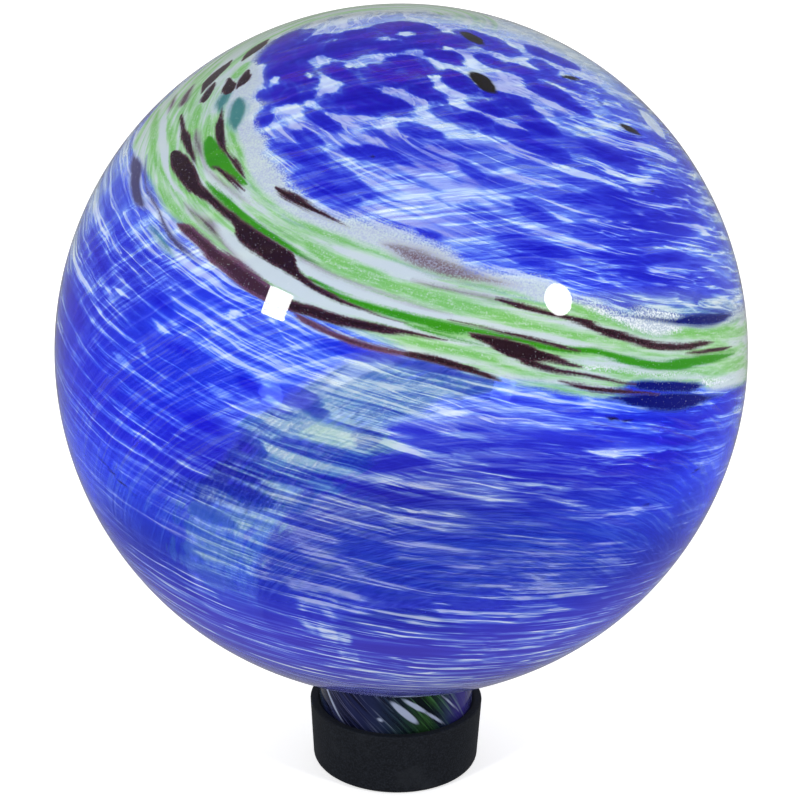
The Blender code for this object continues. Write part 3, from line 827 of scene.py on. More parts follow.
def band_places(sizes, points):
    """Where each point is on the band: how far along it and across it in millimetres, and 1 within its reach.
    Along is the way's length up to its nearest point, and across is the distance from there, upwards."""
    ball = sizes.diameter / 2
    way = unit_points(*smooth_way(BAND_WAY, STEPS_BAND_LEG).T)
    steps = np.linalg.norm(np.diff(way, axis=0), axis=1)
    length = np.concatenate([[0], np.cumsum(steps)]) * ball
    onward = np.gradient(way, axis=0)
    onward /= np.linalg.norm(onward, axis=1)[:, None]
    upward = np.cross(way, onward)
    points = on_unit_ball(sizes, points)
    nearest = np.concatenate([(part @ way.T).argmax(axis=1) for part in np.array_split(points, 40)])
    away = (points - way[nearest]) * ball
    along = length[nearest] + (away * onward[nearest]).sum(axis=1)
    across = (away * upward[nearest]).sum(axis=1)
    near = (np.abs(across - BAND_MIDDLE) < BAND_REACH) & (along > 0) & (along < length[-1])
    thick = 1 - THINS_BY * np.clip((along / MM - BAND_THINS) / THINS_WITHIN, 0, 1)
    return np.stack([along / MM, across / MM, near * thick], axis=-1)


def swirl_slope(sine):
    """How many radians of latitude the swirl comes down for each radian that it turns, from a latitude's
    sine."""
    return 0.13 + 0.22 * ((1 + sine) / 2) ** 1.5 + 0.5 * np.maximum(sine, 0) ** 12


def chips_elsewhere(seed, count, low, high, longest, widest):
    """Chips like the listed ones on the rest of the ball, between two latitudes: scattered evenly, each lying
    along the swirl, long where the latitude is low."""
    scatter = np.random.default_rng(seed)
    azimuth = scatter.uniform(-180, 180, count)
    sine = scatter.uniform(math.sin(math.radians(low)), math.sin(math.radians(high)), count)
    level = np.sqrt(1 - sine**2)
    drop = 0.65 * swirl_slope(sine)
    reach = scatter.uniform(0.35, 1.0, count) * longest * MM / (BALL_DIAMETER / 2)
    half = np.degrees(reach) * (0.25 + 0.75 * level)
    long = np.hypot(level, drop)
    across, down = half * level / long / np.maximum(level, 0.15), half * drop / long
    latitude = np.degrees(np.arcsin(sine))
    wide = scatter.uniform(0.45, 1.0, count) * widest
    hidden = unit_points(azimuth, latitude) @ unit_points(0.0, 22.0) < 0.05
    chips = [azimuth - across, latitude + down, azimuth + across, latitude - down, wide]
    return np.stack(chips, axis=1)[hidden]


def chip_depth(points, chips):
    """How far inside the nearest chip each point on the unit ball is, in millimetres: a chip is a lens on
    the ball, and the depth is w (1 - sqrt((u / l)^2 + (v / w)^2)), where u and v are the way along and
    across it from its middle and l and w are half its length and width."""
    depth = np.full(len(points), FAR_OUTSIDE)
    for azimuth, latitude, end_azimuth, end_latitude, wide in chips:
        start, end = unit_points(azimuth, latitude), unit_points(end_azimuth, end_latitude)
        middle = (start + end) / np.linalg.norm(start + end)
        along = (end - start) / np.linalg.norm(end - start)
        long = np.linalg.norm(end - start) / 2 * BALL_DIAMETER / 2 / MM + 0.6 * wide
        away = (points - middle) * (BALL_DIAMETER / 2 / MM)
        share = np.hypot(away @ along / long, away @ np.cross(middle, along) / wide)
        depth = np.maximum(depth, np.where(points @ middle > 0.2, wide * (1 - share), FAR_OUTSIDE))
    return depth


def petal_depth(points):
    """How far inside the nearest petal each point of the neck is, in millimetres, as for chips but with the
    neck unrolled: azimuth times radius is the way round it, and height the way up it."""
    around, height = np.degrees(np.arctan2(points[:, 0], -points[:, 1])), points[:, 2] / MM
    radius = np.hypot(points[:, 0], points[:, 1]) / MM
    depth = np.full(len(points), FAR_OUTSIDE)
    for azimuth, start, end_azimuth, end, wide in NECK_PETALS:
        run = np.array([math.radians(end_azimuth - azimuth) * NECK_RADIUS, end - start])
        long = np.linalg.norm(run)
        turn = (around - (azimuth + end_azimuth) / 2 + 180) % 360 - 180
        away = np.stack([np.radians(turn) * radius, height - (start + end) / 2], axis=-1)
        onward = away @ run / long / (long / 2 + 0.5 * wide)
        aside = away @ np.array([-run[1], run[0]]) / long / wide
        depth = np.maximum(depth, wide * (1 - np.hypot(onward, aside)))
    return depth


def chip_places(sizes, points):
    """For each point, how deep it is in chips of deep blue, of thin blue, and in bare places; in dark
    chips; and in the patches behind, of dark blue, teal and olive. On the neck the bare places are its
    petals."""
    on_neck = points[:, 2] < NECK_TOP * MM
    petals = petal_depth(points[on_neck])
    points = on_unit_ball(sizes, points)
    low_deep = chips_elsewhere(*LOW_DEEP_ELSEWHERE)
    deep = np.concatenate([DEEP_CHIPS, chips_elsewhere(*DEEP_ELSEWHERE), low_deep])
    thin = np.concatenate([THIN_CHIPS, chips_elsewhere(*THIN_ELSEWHERE)])
    bare = np.concatenate([BARE_PLACES, chips_elsewhere(*BARE_ELSEWHERE)])
    depths = [chip_depth(points, chips) for chips in (
        deep, thin, bare, DARK_CHIPS, BEHIND_NAVY, BEHIND_TEAL, BEHIND_OLIVE)]
    depths[2][on_neck] = petals
    return np.stack(depths[:3], axis=-1), depths[3], np.stack(depths[4:], axis=-1)


def tones(sizes, points):
    """Three soft shares for each point: how much deeper the blue is there, the sum of amount times
    exp(-(distance / reach)^2) over the listed spots; how much it is chips and not streaks; and how violet. On
    the neck the first is how green it is."""
    on_neck = points[:, 2] < NECK_TOP * MM
    points = on_unit_ball(sizes, points)
    latitude = np.degrees(np.arcsin(np.clip(points[:, 2], -1, 1)))

    def spots(places):
        total = np.zeros(len(points))
        for azimuth, at_latitude, reach, amount in places:
            apart = np.degrees(np.arccos(np.clip(points @ unit_points(azimuth, at_latitude), -1, 1)))
            total += amount * np.exp(-(apart / reach) ** 2)
        return total

    def tinted(places):
        azimuth = np.degrees(np.arctan2(points[:, 0], -points[:, 1]))
        turns = [((azimuth - middle + 180) % 360 - 180) / reach for middle, reach in places]
        return sum(np.exp(-(turn**2)) for turn in turns)

    upper = np.clip((latitude - 2) / 18, 0, 1)
    shares = np.stack([spots(DEEPER_SPOTS), upper, np.clip(spots(VIOLET_SPOTS), 0, 1)], axis=-1)
    shares[on_neck, 0], shares[on_neck, 2] = tinted(NECK_GREEN)[on_neck], tinted(NECK_VIOLET)[on_neck]
    return shares


def lanes(trails):
    """The trails, sorted into as few lanes as hold them end to end with a gap between them."""
    sorted_lanes = []
    for trail in sorted(trails, key=lambda trail: trail[0][0]):
        free = [lane for lane in sorted_lanes if lane[-1][-1][0] + TRAIL_GAP < trail[0][0]]
        if free:
            free[0].append(trail)
        else:
            sorted_lanes.append([trail])
    return sorted_lanes


def trail_depth(glass, along, across, trails):
    """How far inside the nearest trail a place is, in millimetres: for each lane, one curve gives the
    middle and one the half width at this distance along the band, and the depth is half width - distance
    from middle. Between the trails of a lane the half width is below 0, by SUNK."""
    depth = None
    length = TRAIL_END - TRAIL_START
    share = glass.scaled(along, 1 / length, -TRAIL_START / length, clamp=True)

    def at(place):
        return (place - TRAIL_START) / length

    for lane in lanes(trails):
        middle = [(at(knot[0]), 0.5 + knot[1] / ACROSS_RANGE) for trail in lane for knot in trail]
        half = [(0, 0)]
        for trail in lane:
            half += [(at(trail[0][0] - GAP_SLOPE), 0)]
            half += [(at(knot[0]), (knot[2] + SUNK) / HALF_RANGE) for knot in trail]
            half += [(at(trail[-1][0] + GAP_SLOPE), 0)]
        middle = glass.curve(share, middle, "AUTO")
        half = glass.curve(share, half + [(1, 0)])
        centred = glass.scaled(middle, -ACROSS_RANGE, ACROSS_RANGE / 2)
        distance = glass.math("ABSOLUTE", glass.plus(across, centred))
        outside = glass.plus(distance, SUNK)
        inside = glass.scaled(half, HALF_RANGE, glass.times(outside, -1.0))
        depth = inside if depth is None else glass.most(depth, inside)
    return depth


def border(glass, along, knots):
    """A border of the band in millimetres across, read off a curve."""
    points = [(knot[0] / BAND_LENGTH, 0.5 + knot[1] / ACROSS_RANGE) for knot in knots]
    share = glass.times(along, 1 / BAND_LENGTH)
    return glass.scaled(glass.curve(share, points), ACROSS_RANGE, -ACROSS_RANGE / 2)


def streak_density(glass, deeper, upper, height, broad, mixed):
    """How dense the blue is in the streaks, from 0 to 1: with sharp edges below, softer and paler above."""
    low_streaks = glass.scaled(glass.step(mixed, 0.45, 0.58), 0.42, 0.54)
    low_streaks = glass.times(glass.step(mixed, 0.37, 0.46), low_streaks)
    high_streaks = glass.scaled(glass.step(mixed, 0.40, 0.60), 0.40, 0.26)
    high_streaks = glass.scaled(deeper, 0.20, high_streaks, clamp=True)
    high_streaks = glass.times(high_streaks, glass.step(broad, 0.33, 0.43))
    high_streaks = glass.faded(high_streaks, glass.step(height, *TOP_OF_BALL), 0.72)
    return glass.blend(upper, low_streaks, high_streaks)


def low_glass(glass, at, swirl_at, colour, through):
    """Low down the glass is less clear, most of all in front, so that the open neck doesn't show through it,
    and at the foot of the ball it has fine dark streaks."""
    depth, height = glass.split(at)[1:]
    front = glass.step(depth, *FRONT)
    low = glass.blend(front, glass.step(height, *LOW_BEHIND), glass.step(height, *LOW_IN_FRONT))
    below = glass.times(glass.step(height, *BELOW_MIDDLE), glass.scaled(low, -0.32, 0.48))
    colour = glass.mix(below, colour, (0.01, 0.06, 1.0))
    veil = glass.mix(front, (0.24, 0.20, 0.86), (0.15, 0.11, 0.16))
    colour = glass.mix(glass.times(low, glass.blend(front, 0.36, 0.26)), colour, veil)
    through = glass.times(through, glass.scaled(low, glass.blend(front, -0.50, -0.90), 1.0))
    comb = glass.ramp(glass.streaks(swirl_at, (11.0, 11.0, 0.5), 1), (
        (0.34, (0.24, 0.26, 0.40)), (0.44, (0.06, 0.05, 0.30)), (0.58, (0.010, 0.010, 0.08))))
    return glass.mix(glass.times(glass.step(height, *FOOT_OF_BALL), 0.75), colour, comb), through


def blue_swirl(glass, colours, at):
    """The blue of the ball and how much light goes through it: chips drawn out by the swirl above, long
    streaks below, and bare lines and places in both."""
    deeper, upper, violet = glass.split(glass.attribute("tone"))
    deep, thin, bare = glass.split(glass.attribute("chips"))
    dark = glass.add("Attribute", 2, attribute_name="dark_chips")
    height = glass.split(at)[2]
    wander = glass.vector("SUBTRACT", glass.noise(at, 24, 2, 0.55, output=1), (0.5, 0.5, 0.5))
    wander = glass.vector("MULTIPLY", wander, (0.7, 0.7, 0.5))
    swirl_at = glass.vector("ADD", glass.attribute("swirl"), wander)
    fine = glass.streaks(swirl_at, (5.0, 5.0, 1.7), 3, 0.62)
    broad = glass.streaks(swirl_at, (1.9, 1.9, 1.0), 3, 0.6)
    ridge = glass.streaks(swirl_at, (1.5, 1.5, 0.28), 1)

    # Streaks, and lines where a noise passes its middle value
    mixed = glass.scaled(fine, 0.42, glass.times(broad, 0.58))
    mixed = glass.scaled(deeper, 0.05, mixed)
    density = streak_density(glass, deeper, upper, height, broad, mixed)
    line = glass.step(glass.math("ABSOLUTE", glass.less(ridge, 0.5)), 0.030, 0.006)
    line = glass.times(line, glass.step(mixed, 0.62, 0.44))

    # Chips, ragged by the streaks, deeper in their middles
    ragged = glass.scaled(broad, 8.0, -4.0)
    ragged = glass.scaled(fine, 2.0, glass.plus(ragged, -1.0))
    in_thin = glass.step(glass.plus(thin, ragged), -1.6, 1.2)
    in_deep = glass.step(glass.scaled(ragged, 0.6, deep), -1.1, 0.3)
    middle = glass.step(glass.plus(ragged, deep), 0.0, 3.0)
    open_above = glass.step(glass.plus(bare, ragged), 0.0, 1.4)
    open_below = glass.times(glass.step(bare, -1.6, 1.2), glass.step(mixed, 0.57, 0.45))
    in_bare = glass.blend(upper, open_below, open_above)
    vein = glass.less(glass.streaks(swirl_at, (2.8, 2.8, 0.55), 1), 0.48)
    vein = glass.plus(glass.math("ABSOLUTE", vein), -0.15)
    vein = glass.step(glass.scaled(mixed, 0.30, vein), 0.045, 0.008)
    vein = glass.times(vein, glass.times(upper, 0.85))
    density = glass.most(density, glass.times(in_thin, 0.66))
    density = glass.most(density, glass.times(in_deep, glass.scaled(middle, 0.24, 0.74)))
    density = glass.faded(density, glass.faded(glass.most(line, vein), in_deep, 0.8), 0.9)
    density = glass.faded(density, in_bare, 0.94)
    colour = glass.ramp(density, (
        (0.0, colours.clear), (0.20, (0.46, 0.64, 0.93)), (0.45, colours.azure),
        (0.72, (0.022, 0.036, 0.60)), (1.0, colours.cobalt)))
    colour = glass.mix(glass.times(violet, density), colour, colours.violet)
    bare_through = glass.scaled(glass.step(deeper, 0.2, -1.0), 0.30, glass.blend(upper, 0.70, 0.60))
    through = glass.step(density, 0.0, 0.4)
    through = glass.blend(through, bare_through, glass.blend(upper, 0.94, 0.88))
    colour, through = low_glass(glass, at, swirl_at, colour, through)
    in_dark = glass.step(glass.scaled(ragged, 0.35, dark), -0.4, 0.8)
    flaw = glass.mix(upper, (0.004, 0.0008, 0.035), (0.012, 0.010, 0.006))
    return glass.mix(in_dark, colour, flaw), glass.faded(through, in_dark, 0.8)


def trail_kinds(colours):
    """The trails in the order in which they are laid on: their places, how wide their soft edge is and how
    far inside it the heart of another colour begins, in millimetres, and the two colours."""
    return (
        (MINT_TRAILS, 2.4, 1.4, colours.mint, (0.19, 0.51, 0.13)),
        (OPAL_TRAILS, 0.9, 1.4, colours.opal, colours.opal),
        (TEAL_TRAILS, 3.0, 1.2, (0.20, 0.42, 0.46), (0.045, 0.20, 0.20)),
        (LEAF_TRAILS, 1.2, 0.6, (0.10, 0.38, 0.05), colours.leaf),
        (NAVY_TRAILS, 1.4, 0.8, (0.03, 0.07, 0.32), (0.001, 0.003, 0.13)),
        (DUSK_TRAILS, 2.0, 1.2, (0.18, 0.20, 0.46), (0.060, 0.055, 0.14)),
        (SMOKE_TRAILS, 2.8, 1.6, (0.24, 0.18, 0.25), (0.085, 0.045, 0.070)),
        (HAZE_TRAILS, 4.4, 1.9, (0.36, 0.33, 0.42), (0.135, 0.070, 0.095)),
        (RUSSET_TRAILS, 1.0, 1.5, (0.130, 0.055, 0.100), (0.045, 0.016, 0.028)),
        (UMBER_TRAILS, 0.9, 0.8, (0.085, 0.030, 0.045), colours.umber),
        (PEARL_TRAILS, 2.0, 1.4, colours.opal, (0.80, 0.84, 0.88)),
    )


def band_ground(glass, colours, drawn, grain, thin):
    """The ground that the band's trails lie on, white and green in strands in front and in streaky patches
    behind, with its two noises."""
    strands = glass.scaled(grain, 0.16, glass.streaks(drawn, (0.40, 0.55, 1.0), 3, 0.6))
    fibres = glass.streaks(drawn, (0.5, 2.0, 1.0), 2, 0.6)
    ground = glass.mix(glass.step(strands, 0.50, 0.66), colours.opal, colours.mint)
    ground = glass.mix(glass.step(strands, 0.64, 0.80), ground, (0.10, 0.36, 0.07))
    patch = glass.plus(glass.streaks(drawn, (0.85, 0.26, 1.0), 2, 0.6), -0.11)
    behind = glass.ramp(glass.scaled(fibres, 0.22, patch), (
        (0.34, (0.01, 0.03, 0.24)), (0.42, (0.03, 0.12, 0.36)), (0.48, (0.30, 0.50, 0.46)),
        (0.52, (0.04, 0.16, 0.34)), (0.58, (0.18, 0.36, 0.34)), (0.63, (0.02, 0.06, 0.24))))
    return strands, fibres, glass.mix(thin, ground, behind)


def patches_behind(glass, strands, fibres, colour):
    """The colour with patches of dark blue, teal and olive over it, frayed by the strands, and how much of a
    place they cover."""
    navy, teal, olive = glass.split(glass.attribute("behind"))
    frayed = glass.scaled(strands, 12.0, -6.0)
    patched = 0.0
    for depth, dark, light in (
        (olive, (0.07, 0.20, 0.25), (0.26, 0.44, 0.34)), (teal, (0.006, 0.045, 0.27), (0.035, 0.15, 0.36)),
        (navy, (0.001, 0.010, 0.15), (0.006, 0.035, 0.28)),
    ):
        amount = glass.times(glass.step(glass.plus(depth, frayed), -1.5, 1.0), 0.95)
        colour = glass.mix(amount, colour, glass.mix(glass.step(fibres, 0.36, 0.70), dark, light))
        patched = glass.most(patched, amount)
    return colour, patched


def band_of_trails(glass, colours, grain, colour, through):
    """The green band over the blue: white powder and strands of green, trails of green, white and brown
    glass, and loose white powder above it. Behind the ball it is thin and breaks into patches that let
    light through."""
    along, across, thick = glass.split(glass.attribute("band"))
    near, thin = glass.step(thick, 0.05, 0.25), glass.step(thick, 0.95, 0.35)
    drawn = glass.add("CombineXYZ", x=glass.times(along, 0.05), y=glass.times(across, 0.45), z=0.0)
    ragged = glass.noise(drawn, 1.0, 3, 0.6)
    shaken = glass.plus(across, glass.scaled(grain, 1.0, -0.5))
    shaken = glass.plus(shaken, glass.scaled(ragged, 1.6, -0.8))
    near = glass.times(near, glass.step(glass.scaled(ragged, 16.0, along), 6.0, 34.0))
    above = glass.less(border(glass, along, BAND_UPPER), shaken)
    below = glass.less(shaken, border(glass, along, BAND_LOWER))
    in_band = glass.times(glass.step(above, -1.0, 3.0), glass.step(below, -1.0, 3.0))
    in_band = glass.times(in_band, near)
    powder = glass.less(border(glass, along, POWDER_UPPER), shaken)
    powder = glass.times(glass.step(powder, -5.0, 9.0), glass.step(above, 3.0, 0.0))
    powder = glass.times(powder, near)
    speckle = glass.step(glass.scaled(powder, 1.6, grain), 0.55, 1.45)
    powder = glass.times(speckle, glass.step(powder, 0.0, 0.2))
    strands, fibres, ground = band_ground(glass, colours, drawn, grain, thin)
    milk = glass.mix(glass.step(grain, 0.60, 0.36), colours.opal, (0.45, 0.52, 0.66))
    colour = glass.mix(powder, colour, milk)
    gaps = glass.times(thin, glass.step(strands, 0.60, 0.42))
    colour = glass.mix(glass.faded(in_band, gaps, 0.6), colour, ground)
    colour, patched = patches_behind(glass, strands, fibres, colour)

    # The trails, each with a soft edge of one colour and a heart of another
    threads = glass.scaled(fibres, 1.6, -0.5)
    cover = glass.most(powder, in_band)
    mottle = glass.scaled(grain, 0.7, glass.streaks(drawn, (3.0, 2.0, 1.0), 2, 0.6))
    for trails, soft, heart, edge, core in trail_kinds(colours):
        depth = glass.plus(trail_depth(glass, along, shaken, trails), threads)
        core_at = glass.scaled(grain, 3.0, glass.plus(depth, -1.5 - heart))
        shade = glass.mix(glass.step(core_at, -0.8, 0.8), edge, core)
        amount = glass.times(glass.step(depth, -soft / 3, soft), near)
        if trails is PEARL_TRAILS:
            amount = glass.times(amount, glass.step(grain, 0.44, 0.60))
        if trails is HAZE_TRAILS:
            amount = glass.times(amount, glass.scaled(glass.step(grain, 0.26, 0.64), 0.5, 0.45))
        colour = glass.mix(amount, colour, shade)
        cover = glass.most(cover, amount)
        if trails is MINT_TRAILS:
            milky = glass.times(glass.step(mottle, 0.78, 1.14), 0.55)
            sharp = glass.times(glass.step(mottle, 0.80, 0.62), glass.times(in_band, 0.30))
            colour = glass.mix(glass.times(cover, milky), colour, (0.56, 0.70, 0.62))
            colour = glass.mix(glass.times(cover, sharp), colour, (0.13, 0.38, 0.09))
    specks = glass.times(glass.step(grain, 0.66, 0.76), glass.times(cover, 0.22))
    colour = glass.mix(specks, colour, (0.75, 0.80, 0.84))
    through = glass.blend(cover, through, glass.blend(thin, 0.10, 0.72))
    return colour, glass.blend(patched, through, 0.66)


def ripples(glass, at):
    """The slight unevenness of a blown surface, which makes the edges of reflections waver."""
    waves = glass.noise(glass.vector("MULTIPLY", at, (1.0, 1.0, 2.0)), 34, 1)
    glass.finish(normal=glass.add("Bump", strength=1.0, distance=RIPPLE, height=waves))


def neck_glass():
    """The thick glass of the neck: nearly black, green in front and violet at the sides, with fine pale
    streaks that come down at 45 degrees and white petals. The near-black is partly the glass's own dark navy
    and green, and partly painted shade: the dark of the black cap's well behind the neck is painted into the
    glass, which lets little light through."""
    glass = Shading("neck glass", roughness=0.03, ior=GLASS_IOR)
    at = glass.place()
    swirl_at = glass.attribute("swirl")
    petals = glass.split(glass.attribute("chips"))[2]
    green, violet = glass.split(glass.attribute("tone"))[::2]
    fine = glass.streaks(swirl_at, (13.0, 13.0, 0.9), 3, 0.6)
    broad = glass.streaks(swirl_at, (4.5, 4.5, 0.8), 2)
    # Painted shade: the near-black stands in for the dark cap well seen through the neck, over the glass's
    # own navy and green
    colour = glass.mix(glass.step(broad, 0.38, 0.62), (0.004, 0.005, 0.018), (0.014, 0.018, 0.066))
    bottle = glass.mix(glass.step(broad, 0.40, 0.60), (0.003, 0.006, 0.006), (0.012, 0.040, 0.010))
    colour = glass.mix(green, colour, bottle)
    colour = glass.mix(glass.times(violet, 0.85), colour, (0.032, 0.022, 0.190))
    pale = glass.mix(green, (0.16, 0.17, 0.34), (0.08, 0.24, 0.07))
    colour = glass.mix(glass.times(glass.step(fine, 0.52, 0.72), 0.50), colour, pale)
    petal = glass.step(glass.scaled(fine, 0.8, glass.plus(petals, -0.4)), -0.3, 0.3)
    colour = glass.mix(petal, colour, (0.34, 0.39, 0.54))
    glass.finish(base_color=colour, transmission_weight=0.18)
    ripples(glass, at)
    return glass.material


def swirled_glass(name, colours, banded):
    glass = Shading(name, roughness=0.02, ior=GLASS_IOR)
    at = glass.place()
    ripples(glass, at)
    colour, through = blue_swirl(glass, colours, at)
    if banded:
        grain = glass.noise(at, 1500, 1, 0.7)
        colour, through = band_of_trails(glass, colours, grain, colour, through)
    glass.finish(base_color=colour, transmission_weight=through)
    return glass.material


def clear_glass():
    clear = {"base_color": (1.0, 1.0, 1.0), "roughness": 0.01, "ior": GLASS_IOR, "transmission_weight": 1.0}
    return Shading("clear glass", **clear).material


def face_kinds(outline, first_inside, in_band):
    """Which of the ball's materials each face has: banded where one of its corners is in the band, swirled
    elsewhere outside, clear inside, and that of the neck below the ball. The neck is swirled inside, so that
    it isn't seen as open."""
    places = in_band[1:-1].reshape(-1, STEPS_ROUND)
    corners = np.maximum(places[:-1], places[1:])
    banded = np.maximum(corners, np.roll(corners, -1, axis=1)) > 0
    kinds = np.full((len(outline) - 1, STEPS_ROUND), SWIRLED, np.int32)
    kinds[1:-1][banded] = BANDED
    kinds[first_inside:] = CLEAR
    middle = (outline[:-1, 1] + outline[1:, 1])[:, None] / 2
    kinds[(middle < NECK_TOP * MM) & (kinds != CLEAR)] = NECK
    kinds[(middle < LINING_TOP * MM) & (kinds == CLEAR)] = SWIRLED
    return kinds.ravel()


class GAZING_OT_glass_ball(bpy.types.Operator):
    """Make the hollow ball of swirled glass with its neck"""

    bl_idname = "gazing.glass_ball"
    bl_label = "Glass Ball"

    def execute(self, context):
        sizes = context.scene.gazing_glass
        outline, first_inside = glass_outline(sizes)
        mesh = turned_mesh("swirled_ball", outline)
        points = np.empty(3 * len(mesh.vertices), np.float32)
        mesh.vertices.foreach_get("co", points)
        points = points.reshape(-1, 3).astype(float)
        places = np.zeros_like(points)
        outside = 1 + (first_inside + 1) * STEPS_ROUND
        places[:outside] = band_places(sizes, points[:outside])
        point_attribute(mesh, "swirl", swirl(sizes, outline))
        point_attribute(mesh, "band", places)
        point_attribute(mesh, "tone", tones(sizes, points))
        chips, dark_chips, behind = chip_places(sizes, points)
        point_attribute(mesh, "chips", chips)
        point_attribute(mesh, "behind", behind)
        point_attribute(mesh, "dark_chips", dark_chips)
        swirled = swirled_glass("swirled glass", sizes, False)
        banded = swirled_glass("banded glass", sizes, True)
        piece = add_piece("swirled_ball", mesh, "glass_ball",
                          [swirled, banded, clear_glass(), neck_glass()])
        kinds = face_kinds(outline, first_inside, places[:, 2])
        mesh.polygons.foreach_set("material_index", kinds)
        piece.visible_shadow = False
        return {"FINISHED"}


def cap_outline(sizes):
    """The cup's outline: its flat underside, the tapered outside, the rounded rim, and the well that follows
    the neck down to its floor."""
    quarter, side = math.pi / 2, -sizes.draft
    rim = sizes.rim_diameter / 2
    base = rim - sizes.height * math.tan(sizes.draft)
    below_rim = sizes.height - CAP_RIM_ROUND
    underside = np.linspace((0, 0), (base - CAP_BASE_ROUND, 0), STEPS_CAP_FLAT)
    edge = arc(underside[-1] + [0, CAP_BASE_ROUND], CAP_BASE_ROUND, -quarter, side, STEPS_BASE_ROUND)
    rim_outer = arc((rim - CAP_RIM_ROUND, below_rim), CAP_RIM_ROUND, side, quarter, STEPS_RIM_ROUND)
    rim_inner = arc((WELL_RIM + CAP_RIM_ROUND, below_rim), CAP_RIM_ROUND, quarter, math.pi, STEPS_RIM_ROUND)
    floor = np.linspace((WELL_FOOT, CAP_FLOOR), (0, CAP_FLOOR), STEPS_CAP_FLAT)
    return np.concatenate([
        underside[:-1], edge, between(edge[-1], rim_outer[0], STEPS_CAP_SIDE), rim_outer, rim_inner,
        between(rim_inner[-1], floor[0], STEPS_CAP_WELL), floor,
    ])


def black_rubber(colours):
    rubber = Shading("black rubber", base_color=colours.rubber, roughness=0.7, specular_ior_level=0.14)
    at = rubber.place()
    grain = rubber.noise(at, 1400, 3, 0.6)
    dust = rubber.noise(at, 90, 4, 0.6)
    colour = rubber.mix(rubber.step(grain, 0.35, 0.75), tuple(0.7 * c for c in colours.rubber),
                        tuple(1.7 * c for c in colours.rubber))
    colour = rubber.mix(rubber.step(dust, 0.5, 0.8), colour, (0.016, 0.019, 0.025))
    rubber.finish(base_color=colour, roughness=rubber.blend(dust, 0.55, 0.72),
                  normal=rubber.add("Bump", strength=0.5, distance=0.0004, height=grain))
    return rubber.material


class GAZING_OT_neck_cap(bpy.types.Operator):
    """Make the black rubber cap that closes the neck"""

    bl_idname = "gazing.neck_cap"
    bl_label = "Neck Cap"

    def execute(self, context):
        sizes = context.scene.gazing_cap
        mesh = turned_mesh("rubber_cap", cap_outline(sizes))
        mesh.flip_normals()
        add_piece("rubber_cap", mesh, "neck_cap", [black_rubber(sizes)])
        return {"FINISHED"}


def studio_floor(studio):
    mesh = bpy.data.meshes.new("studio_floor")
    half = studio.floor / 2
    corners = [(-half, -half, 0), (half, -half, 0), (half, half, 0), (-half, half, 0)]
    mesh.from_pydata(corners, [], [(0, 1, 2, 3)])
    paper = Shading("paper floor", base_color=studio.floor_colour, roughness=0.9, emission_strength=0.55)
    paper.finish(emission_color=(1.0, 1.0, 1.0))
    mesh.materials.append(paper.material)
    floor = bpy.data.objects.new("studio_floor", mesh)
    bpy.context.scene.collection.objects.link(floor)
    floor.visible_glossy = False


def softbox(middle, name, shape, azimuth, elevation, size, power):
    """A lamp that faces the middle of the ball from an azimuth and elevation in degrees."""
    light = bpy.data.lights.new(name, "AREA")
    light.shape, light.size, light.energy = shape, size, power
    lamp = bpy.data.objects.new(name, light)
    bpy.context.scene.collection.objects.link(lamp)
    away = Vector(unit_points(azimuth, elevation))
    lamp.location = middle + away * SOFTBOX_DISTANCE
    lamp.rotation_euler = away.to_track_quat("Z", "Y").to_euler()


def studio_camera(studio, middle):
    """A camera in front of the ball, which looks past the ball's middle so that it is right of the picture's
    own middle and above it."""
    data = bpy.data.cameras.new("camera")
    data.lens, data.sensor_width = LENS, SENSOR
    camera = bpy.data.objects.new("camera", data)
    bpy.context.scene.collection.objects.link(camera)
    back = Vector(unit_points(0.0, math.degrees(studio.elevation)))
    level = Vector((1, 0, 0))
    right = math.cos(studio.roll) * level + math.sin(studio.roll) * back.cross(level)
    up = back.cross(right)
    pixel = SENSOR / LENS / PICTURE * studio.distance
    eye = middle + back * studio.distance
    aim = middle - right * MIDDLE_RIGHT * pixel - up * MIDDLE_UP * pixel
    back = (eye - aim).normalized()
    right = (right - back * right.dot(back)).normalized()
    turn = Matrix((right, back.cross(right), back)).transposed()
    camera.matrix_world = Matrix.Translation(eye) @ turn.to_4x4()
    bpy.context.scene.camera = camera


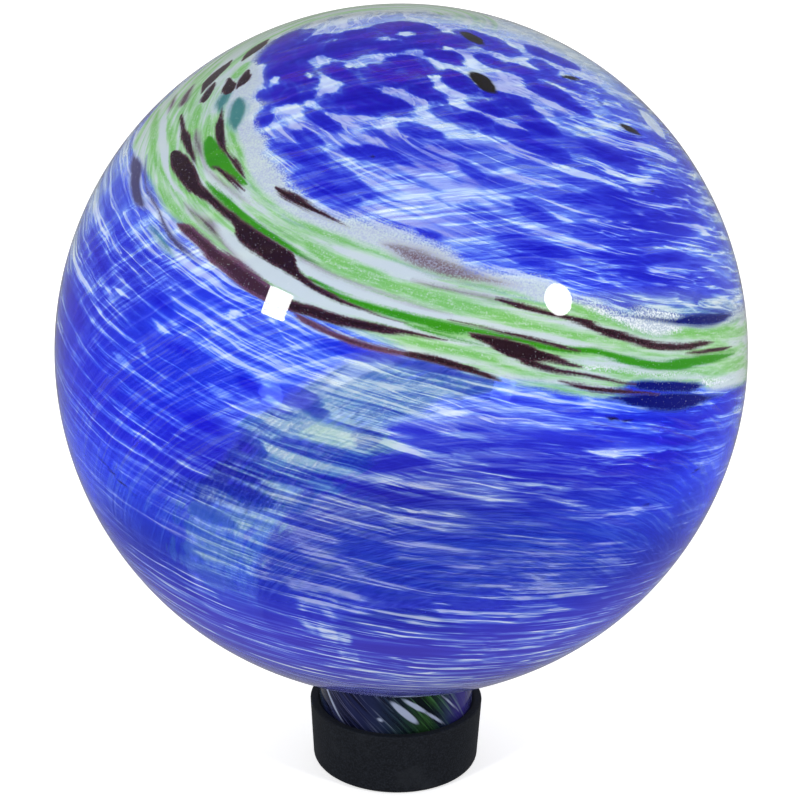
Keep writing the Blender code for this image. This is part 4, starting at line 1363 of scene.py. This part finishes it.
def surroundings(studio):
    """White surroundings that are dimmer on the viewer's side, where a studio is dark, in what lights the
    ball."""
    world = bpy.data.worlds.new("white surroundings")
    white = Nodes(world)
    path = white.nodes.new("ShaderNodeLightPath").outputs
    lean = white.vector("DOT_PRODUCT", white.add("TexCoord"), BRIGHT_SIDE).node.outputs["Value"]
    bright = white.step(lean, *DIM_TO_BRIGHT, studio.dim, BRIGHT_SHARE * studio.sky)
    gloss = white.scaled(path["Is Glossy Ray"], studio.gloss - 1.0, 1.0)
    seen = white.most(path["Is Camera Ray"], path["Is Transmission Ray"])
    background = white.nodes["Background"].inputs
    white.put(background["Color"], (1.0, 1.0, 1.0))
    white.put(background["Strength"], white.blend(seen, white.times(gloss, bright), studio.sky))
    return world


class GAZING_OT_studio(bpy.types.Operator):
    """Make the white floor and surroundings, two softboxes and the camera"""

    bl_idname = "gazing.studio"
    bl_label = "Studio"

    def execute(self, context):
        scene = context.scene
        studio = scene.gazing_studio
        middle = Vector((0, 0, ball_centre(scene.gazing_glass)[1]))
        studio_floor(studio)
        studio_camera(studio, middle)
        for *box, share in SOFTBOXES:
            softbox(middle, *box, share * studio.softbox)
        scene.world = surroundings(studio)
        scene.view_settings.view_transform = "Standard"
        light = scene.cycles
        light.max_bounces, light.transmission_bounces = 14, 12
        light.glossy_bounces, light.diffuse_bounces = 4, 1
        light.caustics_reflective = light.caustics_refractive = False
        return {"FINISHED"}


class GAZING_PT_panel(bpy.types.Panel):
    """Lists the pieces of the gazing ball"""

    bl_label = "Gazing Ball"
    bl_idname = "GAZING_PT_panel"
    bl_space_type = "VIEW_3D"
    bl_region_type = "UI"
    bl_category = "Gazing Ball"

    def draw(self, context):
        for operator, settings in (
            ("gazing.studio", context.scene.gazing_studio), ("gazing.glass_ball", context.scene.gazing_glass),
            ("gazing.neck_cap", context.scene.gazing_cap),
        ):
            box = self.layout.box()
            for name in settings.bl_rna.properties.keys():
                if name not in ("rna_type", "name"):
                    box.prop(settings, name)
            box.operator(operator)


SETTINGS = {
    "gazing_glass": GlassBallSettings, "gazing_cap": NeckCapSettings, "gazing_studio": StudioSettings,
}
CLASSES = (*SETTINGS.values(), GAZING_OT_studio, GAZING_OT_glass_ball, GAZING_OT_neck_cap, GAZING_PT_panel)


def register():
    for cls in CLASSES:
        bpy.utils.register_class(cls)
    for name, cls in SETTINGS.items():
        setattr(bpy.types.Scene, name, PointerProperty(type=cls))


def unregister():
    for name in SETTINGS:
        delattr(bpy.types.Scene, name)
    for cls in reversed(CLASSES):
        bpy.utils.unregister_class(cls)


def main():
    register()
    bpy.ops.gazing.studio()
    bpy.ops.gazing.glass_ball()
    bpy.ops.gazing.neck_cap()


if __name__ == "__main__":
    main()
